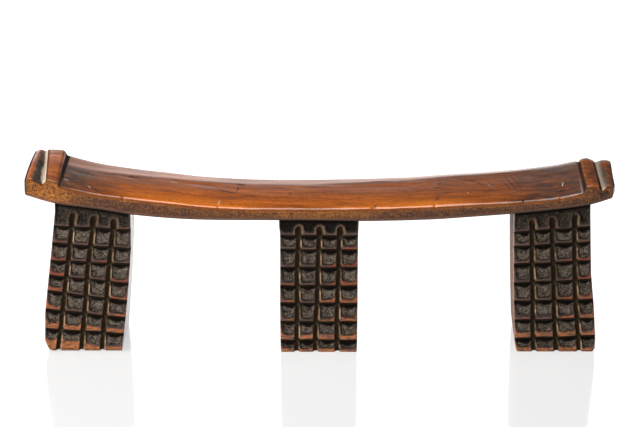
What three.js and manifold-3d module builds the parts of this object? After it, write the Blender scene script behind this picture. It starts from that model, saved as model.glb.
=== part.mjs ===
// A carved wooden headrest: a long, slightly sagging bar with a pair of raised ridges at each end,
// standing on three block legs. Bar and legs are cut from one piece of wood. The front and the back
// of each leg carry a grid of V-cuts that leaves four columns and eight rows of small bosses.
// Millimetres, +X along the bar, +Y to the back, +Z up, origin on the ground under the middle.
import * as THREE from "three";
import { mergeVertices } from "three/addons/utils/BufferGeometryUtils.js";
import Module from "manifold-3d";

// Driving dimensions of the bar.
const END_DEPTH = 92; // front to back at the ends
const MIDDLE_DEPTH = 84; // front to back at the waist
const DEPTH_SPAN = 222; // distance from the middle at which the bar has its full end depth
const TOP_CROWN = 2.4; // how far the middle of the seat stands above its long edges
const CROWN_SPAN = 226; // the crown has died away at this distance, beside the end ridges
const EDGE_BEVEL = 1.4;
const UNDER_SAG = 1.2; // the underside is slightly full across its depth
const SEAT_STEP = 13; // spacing of the cross-sections along the seat

// Height of the seat's front edge and of the bar's lower front edge along X, as the hand cut them.
const SEAT_LINE = [
  [-222, 150.6], [-196, 143.3], [-168, 138.6], [-137, 134.6], [-100, 130.2], [-64, 128.6],
  [0, 128.7], [74, 129.7], [110, 132.0], [146, 134.3], [176, 136.9], [202, 140.1], [222, 144.4],
];
const UNDER_LINE = [
  [-253, 142.6], [-226, 134.9], [-189, 129.4], [-162, 125.0], [-131, 121.5], [-100, 119.4],
  [-50, 118.6], [0, 118.1], [40, 117.9], [91, 119.8], [128, 122.2], [165, 125.2], [201, 129.4],
  [228, 134.0], [247, 140.0],
];

// How far the bar's back edges stand above its front edges, along X.
const BACK_LIFT = [
  [-253, -1.0], [-222, 0.3], [-160, 1.0], [-120, 1.7], [-80, 1.7], [-40, 0.9], [0, 0.4], [60, 1.8],
  [100, 2.6], [160, 2.4], [200, 1.9], [222, 1.2], [253, -3.2],
];

// Cross-sections of the two ridged ends, from the tip inwards: X at the front and at the back edge,
// top height at the front and at the back, and how far the middle stands above those two. The
// sections with a negative last number are the floor of the V-notch.
const LEFT_END = [
  [-249.4, -246.9, 155.8, 154.7, 1.0],
  [-246.4, -244.6, 157.0, 155.6, 1.0],
  [-243.4, -242.2, 156.2, 155.7, 0.6],
  [-235.3, -239.2, 152.0, 154.2, -1.4],
  [-232.6, -237.0, 155.6, 155.7, 0.8],
  [-228.0, -231.0, 155.0, 155.9, 1.0],
  [-223.6, -226.2, 153.4, 155.4, 1.0],
  [-222.5, -224.6, 152.4, 154.4, 1.0],
  [-221.7, -222.4, 150.5, 150.9, 1.0],
];
const RIGHT_END = [
  [244.2, 248.8, 149.2, 145.8, 0.8],
  [242.6, 246.2, 150.3, 146.6, 0.8],
  [239.8, 242.6, 149.0, 146.3, 0.8],
  [235.8, 236.4, 146.0, 144.2, -0.8],
  [233.9, 234.6, 149.6, 146.4, 1.0],
  [228.6, 229.8, 150.3, 148.3, 1.2],
  [223.6, 224.8, 149.7, 147.6, 1.2],
  [222.5, 223.7, 148.0, 146.2, 1.2],
  [221.3, 222.6, 145.0, 144.4, 1.2],
];
const TIP_BULGE = 2.6; // how far the end faces stand out beyond their rims
const TIP_INSET = 2.6; // and how much smaller the outermost section is
const END_BOW = 0.4; // the ends bow outwards in plan

// Driving dimensions of the legs and of their carving.
const LEG_TOP_INTO_BAR = 3.5; // how far the legs run up into the bar before the two are joined
const CORNER = 1.6; // worn corners of the legs
const CUT_DEPTH = 3.8;
const UPRIGHT_CUT_WIDTH = 5.4;
const UPRIGHT_CUT_FLOOR = 0.8;
const UPRIGHT_HEAD_WIDTH = 7.2; // the upright cuts start wider, with a broader floor
const UPRIGHT_HEAD_FLOOR = 3.2;
const HEAD_LENGTH = 5;
const CUT_UPPER_WALL = 2.6; // a level cut has a short upper wall
const CUT_LOWER_WALL = 4.2; // and a longer lower one, which is the boss's sloping shoulder
const UPRIGHT_LEVELS = [0, 8, 71, 114]; // heights at which the places of the upright cuts are given
const OVERSHOOT = 6; // cutters run this far past the surface they cut
const CUT_LIP = 0.2; // an upright cut's walls lean only from just above the surface inwards
const HAND_WANDER = 0.35; // how far a cut strays from its straight line
const STRAY_STEP = 2.4; // in radians, from one place of a cut to the next

// Each leg: outline as [height, left X, right X] from the underside of the bar to the ground; the
// distances of its front and back faces from the middle plane, at the ground and at the top; how far
// its back is displaced along X, at the ground and at the top; how far under the bar the upright
// cuts start and their X at UPRIGHT_LEVELS; the heights of the seven level cuts at the left and at
// the right; and the height and the depth of the wear along the foot's long edges.
const LEGS = [
  {
    name: "left",
    outline: [
      [125, -226.2, -162.4], [92, -229.8, -162.3], [58, -233.8, -165.0], [35, -236.4, -167.3],
      [10, -237.0, -170.2], [3, -234.2, -171.0], [0, -229.6, -171.4],
    ],
    front: [41, 41],
    back: [38, 38.5],
    twist: [2.0, -1.8],
    headDrop: 7,
    uprights: [
      [-225.6, -224.7, -216.5, -211.5], [-205.6, -204.9, -198.8, -193.6], [-188.0, -187.3, -181.0, -176.1],
    ],
    levels: [
      [111.4, 107.6], [96.2, 90.8], [80.4, 77.0], [67.3, 59.8], [53.2, 43.8], [36.7, 28.5], [18.8, 14.4],
    ],
    footWear: [3.2, 4.5],
  },
  {
    name: "middle",
    outline: [
      [112, -36.4, 31.2], [104, -35.6, 30.7], [70, -35.6, 30.5], [47, -35.8, 30.5],
      [20, -35.6, 30.2], [2, -35.4, 30.0], [0, -34.6, 29.4],
    ],
    front: [41.6, 40.2],
    back: [38, 38],
    twist: [0, 0],
    headDrop: 5.4,
    uprights: [[-21.2, -21.1, -20.4, -19.4], [-5.4, -5.2, -2.9, -1.5], [13.1, 13.2, 14.3, 16.0]],
    levels: [
      [102.3, 101.9], [89.9, 89.5], [74.0, 73.6], [57.8, 57.4], [42.1, 41.7], [25.5, 25.1], [9.0, 8.6],
    ],
    footWear: [0.8, 0.8],
  },
  {
    name: "right",
    outline: [
      [125, 162.8, 227.4], [92, 163.0, 228.4], [70, 163.3, 229.2], [42, 163.9, 232.0],
      [12, 165.0, 233.9], [3, 165.9, 233.6], [0, 167.4, 231.4],
    ],
    front: [41.2, 41],
    back: [38, 38.5],
    twist: [0.4, 0],
    headDrop: 7.4,
    uprights: [[181.7, 181.4, 179.4, 178.6], [200.8, 200.4, 197.3, 195.6], [220.3, 219.9, 215.4, 214.8]],
    levels: [
      [105.4, 110.4], [92.6, 97.0], [76.9, 80.2], [60.2, 63.2], [44.0, 45.4], [26.6, 28.4], [10.2, 12.6],
    ],
    footWear: [1.6, 1.6],
  },
];

const WOOD = new THREE.MeshStandardMaterial({ color: 0x8a4a26, roughness: 0.42, metalness: 0 });

// Height on a smooth line through [x, height] points: a cubic on each stretch, whose slope at a
// point is that of the line between its two neighbours.
function heightOn(line, x) {
  const last = line.length - 1;
  let i = 0;
  while (i < last - 1 && x > line[i + 1][0]) i += 1;
  const slopeAt = (k) => {
    const [before, after] = [line[Math.max(k - 1, 0)], line[Math.min(k + 1, last)]];
    return (after[1] - before[1]) / (after[0] - before[0]);
  };
  const [[x0, h0], [x1, h1]] = [line[i], line[i + 1]];
  const run = x1 - x0;
  const t = THREE.MathUtils.clamp((x - x0) / run, -0.2, 1.2);
  const [t2, t3] = [t * t, t * t * t];
  return (
    (2 * t3 - 3 * t2 + 1) * h0 + (t3 - 2 * t2 + t) * run * slopeAt(i) +
    (3 * t2 - 2 * t3) * h1 + (t3 - t2) * run * slopeAt(i + 1)
  );
}

// Half of the bar's depth, front to back, at a distance along it.
function halfDepth(x) {
  const share = Math.min(Math.abs(x) / DEPTH_SPAN, 1);
  return (MIDDLE_DEPTH + (END_DEPTH - MIDDLE_DEPTH) * share * share) / 2;
}

// Height of the bar's underside; across runs from -1 at the front edge to 1 at the back edge.
function underHeight(x, across) {
  const tilt = (heightOn(BACK_LIFT, x) * (across + 1)) / 2;
  return heightOn(UNDER_LINE, x) + tilt - UNDER_SAG * (1 - across * across);
}

// A repeatable stray of -1 to 1 for a cut's place.
function stray(seed) {
  return Math.sin(STRAY_STEP * seed);
}

// Twice the area of a ring of points, as a vector square to it.
function ringArea(ring) {
  return ring.reduce(
    (total, p, i) => total.add(new THREE.Vector3().crossVectors(p, ring[(i + 1) % ring.length])),
    new THREE.Vector3(),
  );
}

// A closed geometry through rings that all have the same number of points, each end closed by a fan
// of triangles from the ring's centre. Its faces point outwards whichever way round the rings run.
function loft(rings) {
  const along = rings[rings.length - 1][0].clone().sub(rings[0][0]);
  const forward = ringArea(rings[1]).dot(along) > 0;
  const ordered = forward ? rings : rings.map((ring) => [...ring].reverse());
  const count = ordered[0].length;
  const points = ordered.flat();
  const faces = [];
  for (let r = 0; r + 1 < ordered.length; r += 1) {
    for (let i = 0; i < count; i += 1) {
      const [a, b] = [r * count + i, r * count + ((i + 1) % count)];
      faces.push([a, b, b + count], [a, b + count, a + count]);
    }
  }
  [0, ordered.length - 1].forEach((r) => {
    const centre = points.length;
    const sum = ordered[r].reduce((total, p) => total.add(p), new THREE.Vector3());
    points.push(sum.divideScalar(count));
    for (let i = 0; i < count; i += 1) {
      const [a, b] = [r * count + i, r * count + ((i + 1) % count)];
      faces.push(r === 0 ? [centre, b, a] : [centre, a, b]);
    }
  });
  return new THREE.BufferGeometry().setFromPoints(points).setIndex(faces.flat());
}

// One cross-section of the bar, as a ring of points that starts at the lower front edge. Its top
// runs from topFront to topBack and stands crown higher in between; inset makes it smaller all round
// and bow bulges its middle out along X.
function barSection(xFront, xBack, topFront, topBack, crown, inset = 0, bow = 0) {
  const { lerp } = THREE.MathUtils;
  const half = halfDepth((xFront + xBack) / 2) - inset;
  const xAt = (across) => lerp(xFront, xBack, (across + 1) / 2);
  const point = (across, z) =>
    new THREE.Vector3(xAt(across) + bow * (1 - across * across), across * half, z);
  const under = (across, lift = 0) => point(across, underHeight(xAt(across), across) + inset + lift);
  const over = (across, drop = 0) => {
    const bulge = crown * (1 - across * across);
    return point(across, lerp(topFront, topBack, (across + 1) / 2) + bulge - inset - drop);
  };
  const arris = 1 - EDGE_BEVEL / half;
  return [
    under(-arris), under(-1, EDGE_BEVEL), over(-1, EDGE_BEVEL), over(-arris),
    ...[-0.66, -0.33, 0, 0.33, 0.66].map((across) => over(across)),
    over(arris), over(1, EDGE_BEVEL), under(1, EDGE_BEVEL), under(arris),
    ...[0.5, 0, -0.5].map((across) => under(across)),
  ];
}

// The tip and the ridges of one end, as sections from the tip inwards.
function endSections(stations, side) {
  const [xFront, xBack, topFront, topBack, crown] = stations[0];
  const out = side * TIP_BULGE;
  const bow = side * END_BOW;
  const tip = barSection(xFront + out, xBack + out, topFront, topBack, crown, TIP_INSET, bow);
  return [tip, ...stations.map((station, i) => barSection(...station, 0, i < 2 ? bow : 0))];
}

// The bar: left end, seat and right end in one loft.
function barGeometry() {
  const seat = [];
  const reach = SEAT_LINE[SEAT_LINE.length - 1][0] - 3;
  const steps = Math.round((2 * reach) / SEAT_STEP);
  for (let i = 0; i <= steps; i += 1) {
    const x = -reach + (2 * reach * i) / steps;
    const crown = TOP_CROWN * (1 - (Math.abs(x) / CROWN_SPAN) ** 4);
    const top = heightOn(SEAT_LINE, x);
    seat.push(barSection(x, x, top, top + heightOn(BACK_LIFT, x), crown));
  }
  return loft([...endSections(LEFT_END, -1), ...seat, ...endSections(RIGHT_END, 1).reverse()]);
}

// Y of a leg's front (side -1) or back (side 1) face at a height.
function faceAt(leg, side, z) {
  const distances = side < 0 ? leg.front : leg.back;
  return side * THREE.MathUtils.mapLinear(z, 0, leg.outline[0][0], ...distances);
}

// A leg: rectangular sections with worn corners from the ground up, the last one inside the bar.
function legGeometry(leg) {
  const [wearHeight, wearDepth] = leg.footWear;
  const [topHeight, topLeft, topRight] = leg.outline[0];
  const ring = (z, left, right, worn, heightAt) => {
    const [front, back] = [faceAt(leg, -1, z) + worn, faceAt(leg, 1, z) - worn];
    const backShift = THREE.MathUtils.mapLinear(z, 0, topHeight, ...leg.twist);
    const corners = [
      [left + CORNER, front], [right - CORNER, front], [right, front + CORNER], [right, back - CORNER],
      [right - CORNER, back], [left + CORNER, back], [left, back - CORNER], [left, front + CORNER],
    ];
    return corners.map(([x, y]) => {
      const shifted = x + (backShift * (y - front)) / (back - front);
      return new THREE.Vector3(shifted, y, heightAt(shifted, y));
    });
  };
  const rings = [...leg.outline].reverse().map(([z, left, right]) => {
    const worn = wearDepth * (1 - Math.min(z / wearHeight, 1));
    return ring(z, left, right, worn, () => z);
  });
  const insideBar = (x, y) => underHeight(x, y / halfDepth(x)) + LEG_TOP_INTO_BAR;
  rings.push(ring(topHeight, topLeft, topRight, 0, insideBar));
  return loft(rings);
}

// An upright cut on the front (side -1) or back (side 1) face: a V with a narrow floor, from its
// wide, quickly deepening head under the bar down through the ground.
function uprightCut(leg, places, side, seed) {
  const { lerp, smoothstep } = THREE.MathUtils;
  const line = places.map((x, i) => [UPRIGHT_LEVELS[i], x]);
  const topX = places[places.length - 1];
  const topZ = heightOn(UNDER_LINE, topX) - leg.headDrop;
  const drops = [0, HEAD_LENGTH / 3, HEAD_LENGTH, 3 * HEAD_LENGTH];
  const levels = [...drops.map((drop) => topZ - drop), 72, 48, 24, -OVERSHOOT];
  const rings = levels.map((z, i) => {
    const below = topZ - z;
    const depth = CUT_DEPTH * smoothstep(below, -0.2 * HEAD_LENGTH, HEAD_LENGTH);
    const opened = 1 - smoothstep(below, HEAD_LENGTH, 3 * HEAD_LENGTH);
    const start = smoothstep(below, -0.5 * HEAD_LENGTH, HEAD_LENGTH / 3);
    const mouth = (start * lerp(UPRIGHT_CUT_WIDTH, UPRIGHT_HEAD_WIDTH, opened)) / 2;
    const floor = (start * lerp(UPRIGHT_CUT_FLOOR, UPRIGHT_HEAD_FLOOR, opened)) / 2;
    const x = heightOn(line, z) + HAND_WANDER * stray(seed + i);
    const face = faceAt(leg, side, z);
    const corners = [
      [-mouth, OVERSHOOT], [mouth, OVERSHOOT], [mouth, CUT_LIP],
      [floor, -depth], [-floor, -depth], [-mouth, CUT_LIP],
    ];
    return corners.map(([across, out]) => new THREE.Vector3(x + across, face + side * out, z));
  });
  return loft(rings);
}

// A level V-cut right across the front or back face, with a short upper and a long lower wall.
function levelCut(leg, [leftHeight, rightHeight], side, seed) {
  const [, left, right] = leg.outline[2];
  const steps = 5;
  const flare = 1 + OVERSHOOT / CUT_DEPTH;
  const rings = [];
  for (let i = 0; i <= steps; i += 1) {
    const x = THREE.MathUtils.lerp(left - OVERSHOOT, right + OVERSHOOT, i / steps);
    const straight = THREE.MathUtils.mapLinear(x, left, right, leftHeight, rightHeight);
    const z = straight + HAND_WANDER * stray(seed + i);
    const face = faceAt(leg, side, z);
    const mouth = face + side * OVERSHOOT;
    rings.push([
      new THREE.Vector3(x, mouth, z + CUT_UPPER_WALL * flare),
      new THREE.Vector3(x, mouth, z - CUT_LOWER_WALL * flare),
      new THREE.Vector3(x, face - side * CUT_DEPTH, z),
    ]);
  }
  return loft(rings);
}

// All the cutters of one leg: both carved faces, three upright and seven level cuts on each.
function legCutters(leg, legIndex) {
  return [-1, 1].flatMap((side) => {
    const seed = 100 * legIndex + (side > 0 ? 50 : 0);
    return [
      ...leg.uprights.map((places, i) => uprightCut(leg, places, side, seed + 11 * i)),
      ...leg.levels.map((heights, i) => levelCut(leg, heights, side, seed + 7 * i + 3)),
    ];
  });
}

const wasm = await Module();
wasm.setup();

function solidFrom(geometry) {
  const bare = new THREE.BufferGeometry()
    .setAttribute("position", geometry.getAttribute("position"))
    .setIndex(geometry.index);
  const merged = mergeVertices(bare, 1e-4);
  return new wasm.Manifold(
    new wasm.Mesh({
      numProp: 3,
      vertProperties: merged.getAttribute("position").array,
      triVerts: new Uint32Array(merged.index.array),
    }),
  );
}

function geometryFrom(solid) {
  const { vertProperties, triVerts } = solid.getMesh();
  const geometry = new THREE.BufferGeometry()
    .setAttribute("position", new THREE.BufferAttribute(vertProperties, 3))
    .setIndex(new THREE.BufferAttribute(triVerts, 1));
  geometry.computeVertexNormals();
  return geometry;
}

// The carved legs are joined to the bar after their cuts are made, so that no cut marks the bar.
let block = solidFrom(barGeometry());
LEGS.forEach((leg, index) => {
  let carved = solidFrom(legGeometry(leg));
  legCutters(leg, index).forEach((tool) => {
    carved = carved.subtract(solidFrom(tool));
  });
  block = block.add(carved);
});

const headrest = new THREE.Group();
const carving = new THREE.Mesh(geometryFrom(block), WOOD);
carving.name = "headrest";
headrest.add(carving);

export default headrest;
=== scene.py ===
"""A carved wooden headrest, dressed over its solid: the polished bar, the charred legs and the studio.

Lengths inside the shape functions are millimetres, in the solid's frame: +X along the bar, +Y to the
back, +Z up, origin on the ground under the middle. They become metres when a mesh is made.
"""

import math
from types import SimpleNamespace

import bpy
import numpy as np
from bpy.props import FloatProperty, FloatVectorProperty, PointerProperty
from mathutils import Matrix, Vector


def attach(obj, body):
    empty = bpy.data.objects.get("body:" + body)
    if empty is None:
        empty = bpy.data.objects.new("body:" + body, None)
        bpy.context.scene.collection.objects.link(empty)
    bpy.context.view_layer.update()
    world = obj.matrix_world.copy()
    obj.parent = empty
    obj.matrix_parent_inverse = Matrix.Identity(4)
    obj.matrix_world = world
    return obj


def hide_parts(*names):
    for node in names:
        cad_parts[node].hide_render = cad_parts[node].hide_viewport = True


bl_info = {
    "name": "Carved Headrest",
    "version": (1, 0, 0),
    "blender": (4, 5, 0),
    "location": "3D View > Sidebar > Headrest",
    "description": "Carves a wooden headrest with charred, cross-cut legs and sets its studio",
    "category": "Add Mesh",
}

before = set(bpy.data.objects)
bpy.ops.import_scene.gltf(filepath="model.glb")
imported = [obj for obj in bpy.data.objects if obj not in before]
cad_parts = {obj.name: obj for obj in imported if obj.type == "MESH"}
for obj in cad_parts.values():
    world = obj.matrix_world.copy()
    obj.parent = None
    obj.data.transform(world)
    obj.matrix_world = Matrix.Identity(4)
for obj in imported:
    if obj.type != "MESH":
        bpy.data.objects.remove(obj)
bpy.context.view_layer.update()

MM = 0.001
SOLID = "headrest"

# The bar's lines, in millimetres: how far from the middle it has its full depth, where the seat's
# crown would die away, and how full the underside is.
DEPTH_SPAN = 222
CROWN_SPAN = 240
UNDER_SAG = 1.2
# Height of the seat's front edge, and of the bar's lower front edge, along X.
SEAT_LINE = [
    (-222, 150.6), (-196, 143.8), (-168, 139.5), (-137, 135.6), (-100, 131.3), (-64, 129.3),
    (-30, 128.9), (0, 128.7), (74, 130.4), (110, 132.5), (146, 134.3), (176, 136.7), (202, 139.8),
    (222, 144.4),
]
UNDER_LINE = [
    (-253, 142.0), (-226, 134.0), (-189, 128.2), (-162, 123.5), (-131, 120.2), (-100, 118.4),
    (-50, 117.8), (0, 117.4), (40, 117.0), (91, 118.5), (128, 121.2), (165, 124.4), (201, 128.5),
    (228, 133.1), (247, 139.2),
]
# How far the bar's back edges stand above its front edges, along X.
BACK_LIFT = [
    (-253, -1.0), (-222, 0.3), (-160, 0.2), (-120, 0.6), (-80, 1.0), (-40, 0.8), (0, 1.1),
    (60, 1.3), (100, 1.8), (160, 2.4), (200, 2.1), (222, 1.2), (253, -3.2),
]
# Width of the flat strip that falls to the seat's back edge, along X.
BACK_STRIP = [
    (-226, 34), (-187, 30), (-150, 26), (-100, 22), (-17, 24), (30, 19), (85, 15.5), (150, 13),
    (185, 11), (226, 9),
]
# Profile of a worn arris, from the face to the top: shares of its size in from the face and off the
# top. The middle of it is a flat strip at half a right angle.
ARRIS_PROFILE = [(0, 1), (0.06, 0.6), (0.17, 0.41), (0.41, 0.17), (0.6, 0.06), (1, 0)]
# Sections of the ridged ends, from the tip inwards: X at the front and at the back edge, top height
# at the front and at the back, and the rise of the middle above those. Negative rises are V-notches.
LEFT_END = [
    (-249.4, -246.9, 155.8, 154.7, 1.0), (-246.4, -244.6, 157.0, 155.6, 1.0),
    (-243.4, -242.2, 156.2, 155.7, 0.6), (-235.3, -239.2, 152.0, 154.2, -1.4),
    (-232.6, -237.0, 155.6, 155.7, 0.8), (-228.0, -231.0, 155.0, 155.9, 1.0),
    (-223.6, -223.4, 153.8, 155.2, 1.0), (-222.8, -221.6, 152.9, 153.6, 1.0),
    (-222.2, -220.6, 150.6, 151.0, 1.0),
]
RIGHT_END = [
    (244.2, 248.8, 149.2, 145.8, 0.8), (242.6, 246.2, 150.3, 146.6, 0.8),
    (239.8, 242.6, 149.0, 146.3, 0.8), (235.8, 236.4, 146.0, 144.2, -0.8),
    (233.9, 234.6, 149.6, 146.4, 1.0), (228.6, 229.8, 150.3, 148.3, 1.2),
    (223.6, 224.8, 149.7, 147.6, 1.2), (222.2, 223.5, 148.2, 146.3, 1.2),
    (221.5, 222.8, 145.0, 144.4, 1.2),
]
# The tips' rounding lengthwise and across, the ends' bow in plan, the facet along the lower edges,
# the distance between sections on the seat and on the ends, and where the seat's last section stands
# before the ridges.
TIP_BULGE = 1.6
TIP_INSET = 1.7
END_BOW = 0.4
LOWER_FACET = 1.0
SEAT_SPACING = 3.0
END_SPACING = 0.75
FOOT_OF_RIDGE = 2.4
# Nicks in the seat's front arris: X, run along X towards the lower edge, reach down the front face,
# depth and half width.
NICKS = [
    (-167.8, 1.0, 6.0, 0.9, 1.5), (44.4, -3.2, 5.0, 0.7, 1.3), (170.6, 1.2, 6.0, 0.5, 1.4),
    (202.6, 0.4, 9.0, 0.45, 1.2), (-88.0, 0.5, 3.0, 0.5, 1.2), (96.0, -0.8, 3.4, 0.5, 1.2),
]

# The legs' lines, in millimetres. The carving reaches a little round the corners, and the legs run
# up into the bar.
CORNER = 1.6
CARVED_CORNER = 6.5
INTO_BAR = 3.5
LEVELS_OF_UPRIGHTS = (0, 8, 71, 114)
HEAD_LENGTH = 5
# How far a cut strays from its straight line, and by how many radians from one place to the next.
HAND_WANDER = 0.35
STRAY_STEP = 2.4
HEAD_RISE = 0.8
HEAD_HALF = 3.3
SLOT_HALF = 2.7
SLOT_WALL = 1.5
# Shares of a foot's width and depth at which its sole lies flat.
SOLE_RIM = (0.86, 0.8)
# The hand strayed in its own way on the backs: their seeds are this much higher.
BACK_SEED = 50
# As in the solid: outline rows (height, left X, right X); distances of front and back faces from the
# middle plane at the ground and at the top; displacement of the back along X at both; drop of the
# upright cuts' heads under the bar; the cuts' places; the level cuts' heights left and right; the
# height and depth of the wear along the foot. Then, for the finish: how strongly the lips are rubbed
# down to bright wood, on the left and right of the upper rows and of the two lowest; how clear the
# rims round the cuts' heads are, with their painted highlight; how much of the top row shows lit crust
# rather than the painted shadow under the bar; how much taller the plain band along the ground is
# than on an average leg, and how glossy its plain sides are.
LEGS = [
    {
        "outline": [
            (125, -226.2, -162.4), (92, -229.8, -162.3), (58, -233.8, -165.0),
            (35, -236.4, -167.3), (10, -237.0, -170.2), (3, -234.2, -171.0), (0, -229.6, -171.4),
        ],
        "front": (41, 41), "back": (38, 38.5), "twist": (2.0, -1.8), "head_drop": 7,
        "uprights": [
            (-225.6, -224.7, -216.5, -211.5), (-205.6, -204.9, -198.8, -193.6),
            (-188.0, -187.3, -181.0, -176.1),
        ],
        "levels": [
            (111.4, 107.6), (96.2, 90.8), (80.4, 77.0), (67.3, 59.8), (53.2, 43.8), (36.7, 28.5),
            (18.8, 14.4),
        ],
        "foot_wear": (3.2, 4.5),
        "bright": (0.85, 0.35, 1.2, 0.4), "rim": 0.25, "top_row_lit": 0.55, "low_band": 6.5,
        "planed": 1.0,
    },
    {
        "outline": [
            (112, -36.4, 31.2), (104, -35.6, 30.7), (70, -35.6, 30.5), (47, -35.8, 30.5),
            (20, -35.6, 30.2), (2, -35.4, 30.0), (0, -34.6, 29.4),
        ],
        "front": (41.6, 40.2), "back": (38, 38), "twist": (0, 0), "head_drop": 5.4,
        "uprights": [
            (-21.2, -21.1, -20.4, -19.4), (-5.4, -5.2, -2.9, -1.5), (13.1, 13.2, 14.3, 16.0),
        ],
        "levels": [
            (102.3, 101.9), (89.9, 89.5), (74.0, 73.6), (57.8, 57.4), (42.1, 41.7), (25.5, 25.1),
            (9.0, 8.6),
        ],
        "foot_wear": (0.8, 0.8),
        "bright": (0.3, 1.3, 0.6, 0.8), "rim": 0.9, "top_row_lit": 0.15, "low_band": -1.0,
        "planed": 0.8,
    },
    {
        "outline": [
            (125, 162.8, 227.4), (92, 163.0, 228.4), (70, 163.3, 229.2), (42, 163.9, 232.0),
            (12, 165.0, 233.9), (3, 165.9, 233.6), (0, 167.4, 231.4),
        ],
        "front": (41.2, 41), "back": (38, 38.5), "twist": (0.4, 0), "head_drop": 7.4,
        "uprights": [
            (181.7, 181.4, 179.4, 178.6), (200.8, 200.4, 197.3, 195.6),
            (220.3, 219.9, 215.4, 214.8),
        ],
        "levels": [
            (105.4, 110.4), (92.6, 97.0), (76.9, 80.2), (60.2, 63.2), (44.0, 45.4), (26.6, 28.4),
            (10.2, 12.6),
        ],
        "foot_wear": (1.6, 1.6),
        "bright": (0.25, 0.9, 0.75, 0.85), "rim": 0.35, "top_row_lit": 0.6, "low_band": 0.6,
        "planed": -0.5,
    },
]
ROWS_OF_BOSSES = 8
COLUMNS_OF_BOSSES = 4
# Rows from this one down are the lowest, which stand near the ground and are worn most.
LOW_ROWS = 6
# By row of bosses: how strongly the lips are rubbed, and how tall the plain band above the lip is.
WEAR_BY_ROW = (0.05, 0.2, 0.55, 0.75, 0.9, 0.8, 1.0, 1.0)
BAND_BY_ROW = (1.3, 1.0, 1.0, 1.1, 1.2, 1.7, 3.9, 3.8)
HOLLOW_CORNER = 3.4
# The materials' places in the mesh.
TOP, SIDE, CARVED = 0, 1, 2
# What wear and fire left, and where light and shade are painted, as shares kept at every point. On
# the seat dust is a dull film and worn is wood rubbed bright; on the bar's faces edge is the line
# under the front arris and worn the pinkish lower edge, a painted reflection of the floor; on the
# legs' plain sides dust says how glossily they were planed. The mask for soot also holds painted
# shade, the pale mask mostly painted highlights, and on the legs the edge mask is a painted highlight
# along the lips.
MASKS = ("char", "worn", "dust", "soot_and_shade", "edge", "dirt", "pale", "black_mark")


def linear(code):
    """Linear RGB of an sRGB hex colour."""
    channels = np.array([int(code[i : i + 2], 16) for i in (1, 3, 5)]) / 255
    low, high = channels / 12.92, ((channels + 0.055) / 1.055) ** 2.4
    return tuple(float(c) for c in np.where(channels <= 0.04045, low, high))


def length(name, description, default):
    """A length in metres that the panel shows, from a default in millimetres."""
    return FloatProperty(
        name=name, description=description, default=default * MM, min=0, unit="LENGTH", precision=4
    )


def colour(name, description, code):
    """A colour that the panel shows, from its sRGB hex code."""
    return FloatVectorProperty(
        name=name, description=description, subtype="COLOR", size=3, min=0, max=1,
        default=linear(code),
    )


class HeadrestSizes(bpy.types.PropertyGroup):
    """The bar's and the carving's main sizes."""

    end_depth: length("End depth", "Front to back at the ends of the bar", 92)
    middle_depth: length("Middle depth", "Front to back at the bar's waist", 84)
    seat_crown: length("Seat crown", "Rise of the seat's middle above its long edges", 2.4)
    front_arris: length("Front arris radius", "Rounding of the seat's front edge", 3.2)
    arris: length("Arris radius", "Rounding of the bar's other edges", 1.4)
    cut_depth: length("Cut depth", "Depth of the V-cuts in the legs", 3.8)
    upper_wall: length("Upper wall", "Height of a level cut's wall under the lip", 2.9)
    slope_depth: length("Slope depth", "How deep a boss's face starts under the cut above", 2.9)
    scoop_depth: length("Scoop depth", "Depth of the charred hollow in each boss", 1.3)
    char_relief: length("Char relief", "Height of the crust on the charred wood", 0.4)


class HeadrestColours(bpy.types.PropertyGroup):
    """The wood's colours, from fresh and polished to burnt, and the painted light and shade on it."""

    seat: colour("Seat", "Polished seat", "#A1541B")
    seat_light: colour("Seat, worn light", "Wood rubbed bright along the seat's front", "#BE6822")
    seat_dark: colour("Seat streaks", "Dark grain of the polished seat", "#713610")
    bruise: colour("Bruises", "Dark scratches and stains on the seat", "#2A120D")
    # Also a painted highlight on the notch walls of the ridged ends that face the light.
    ash_and_highlight: colour("Ash", "Pale dust in the notches of the ridges", "#9B8F7F")
    grime: colour("Grime", "Old grease and dirt on the bar", "#3A2318")
    side: colour("Side", "Long faces of the bar and plain sides of the legs", "#62350B")
    gold: colour("Golden side", "Lighter streaks of the long faces", "#8C5520")
    line: colour("Under the arris", "Deep orange wood just under the front arris", "#5A2A00")
    side_dark: colour("Specks", "Dark specks and pores", "#24150C")
    char: colour("Char", "Burnt wood in the hollows of the bosses", "#1C1712")
    char_grain: colour("Char grain", "Lighter grains in the burnt crust", "#675C51")
    # Also painted shade: the shadows under the lips, in the level cuts, under the bar and above the
    # legs.
    soot_and_shade: colour("Soot", "Black crevices of the carving", "#0C0907")
    smoked: colour("Smoked wood", "Smooth browned wood around the burnt hollows", "#34241E")
    smoked_dark: colour("Dark smoked wood", "Darker clouds in the smoked wood", "#241713")
    # The lip colour is a painted highlight along the lips and round the cuts' heads, and a painted
    # reflection of the floor along the bar's lower edges.
    lip: colour("Lip", "Polished edge of each boss", "#604438")
    rubbed: colour("Rubbed wood", "Red-brown wood at the rubbed edges", "#6C2706")
    worn: colour("Worn wood", "Golden wood at the worn lips near the ground", "#834B22")
    dust: colour("Dust", "Old dust in the floors of the cuts", "#33281B")
    # Painted light: the pale right walls of the upright cuts, which face the left softbox.
    lit_cut_wall: colour("Bare wood", "Pale dusty wood on the walls of the cuts", "#8A7158")


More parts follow.
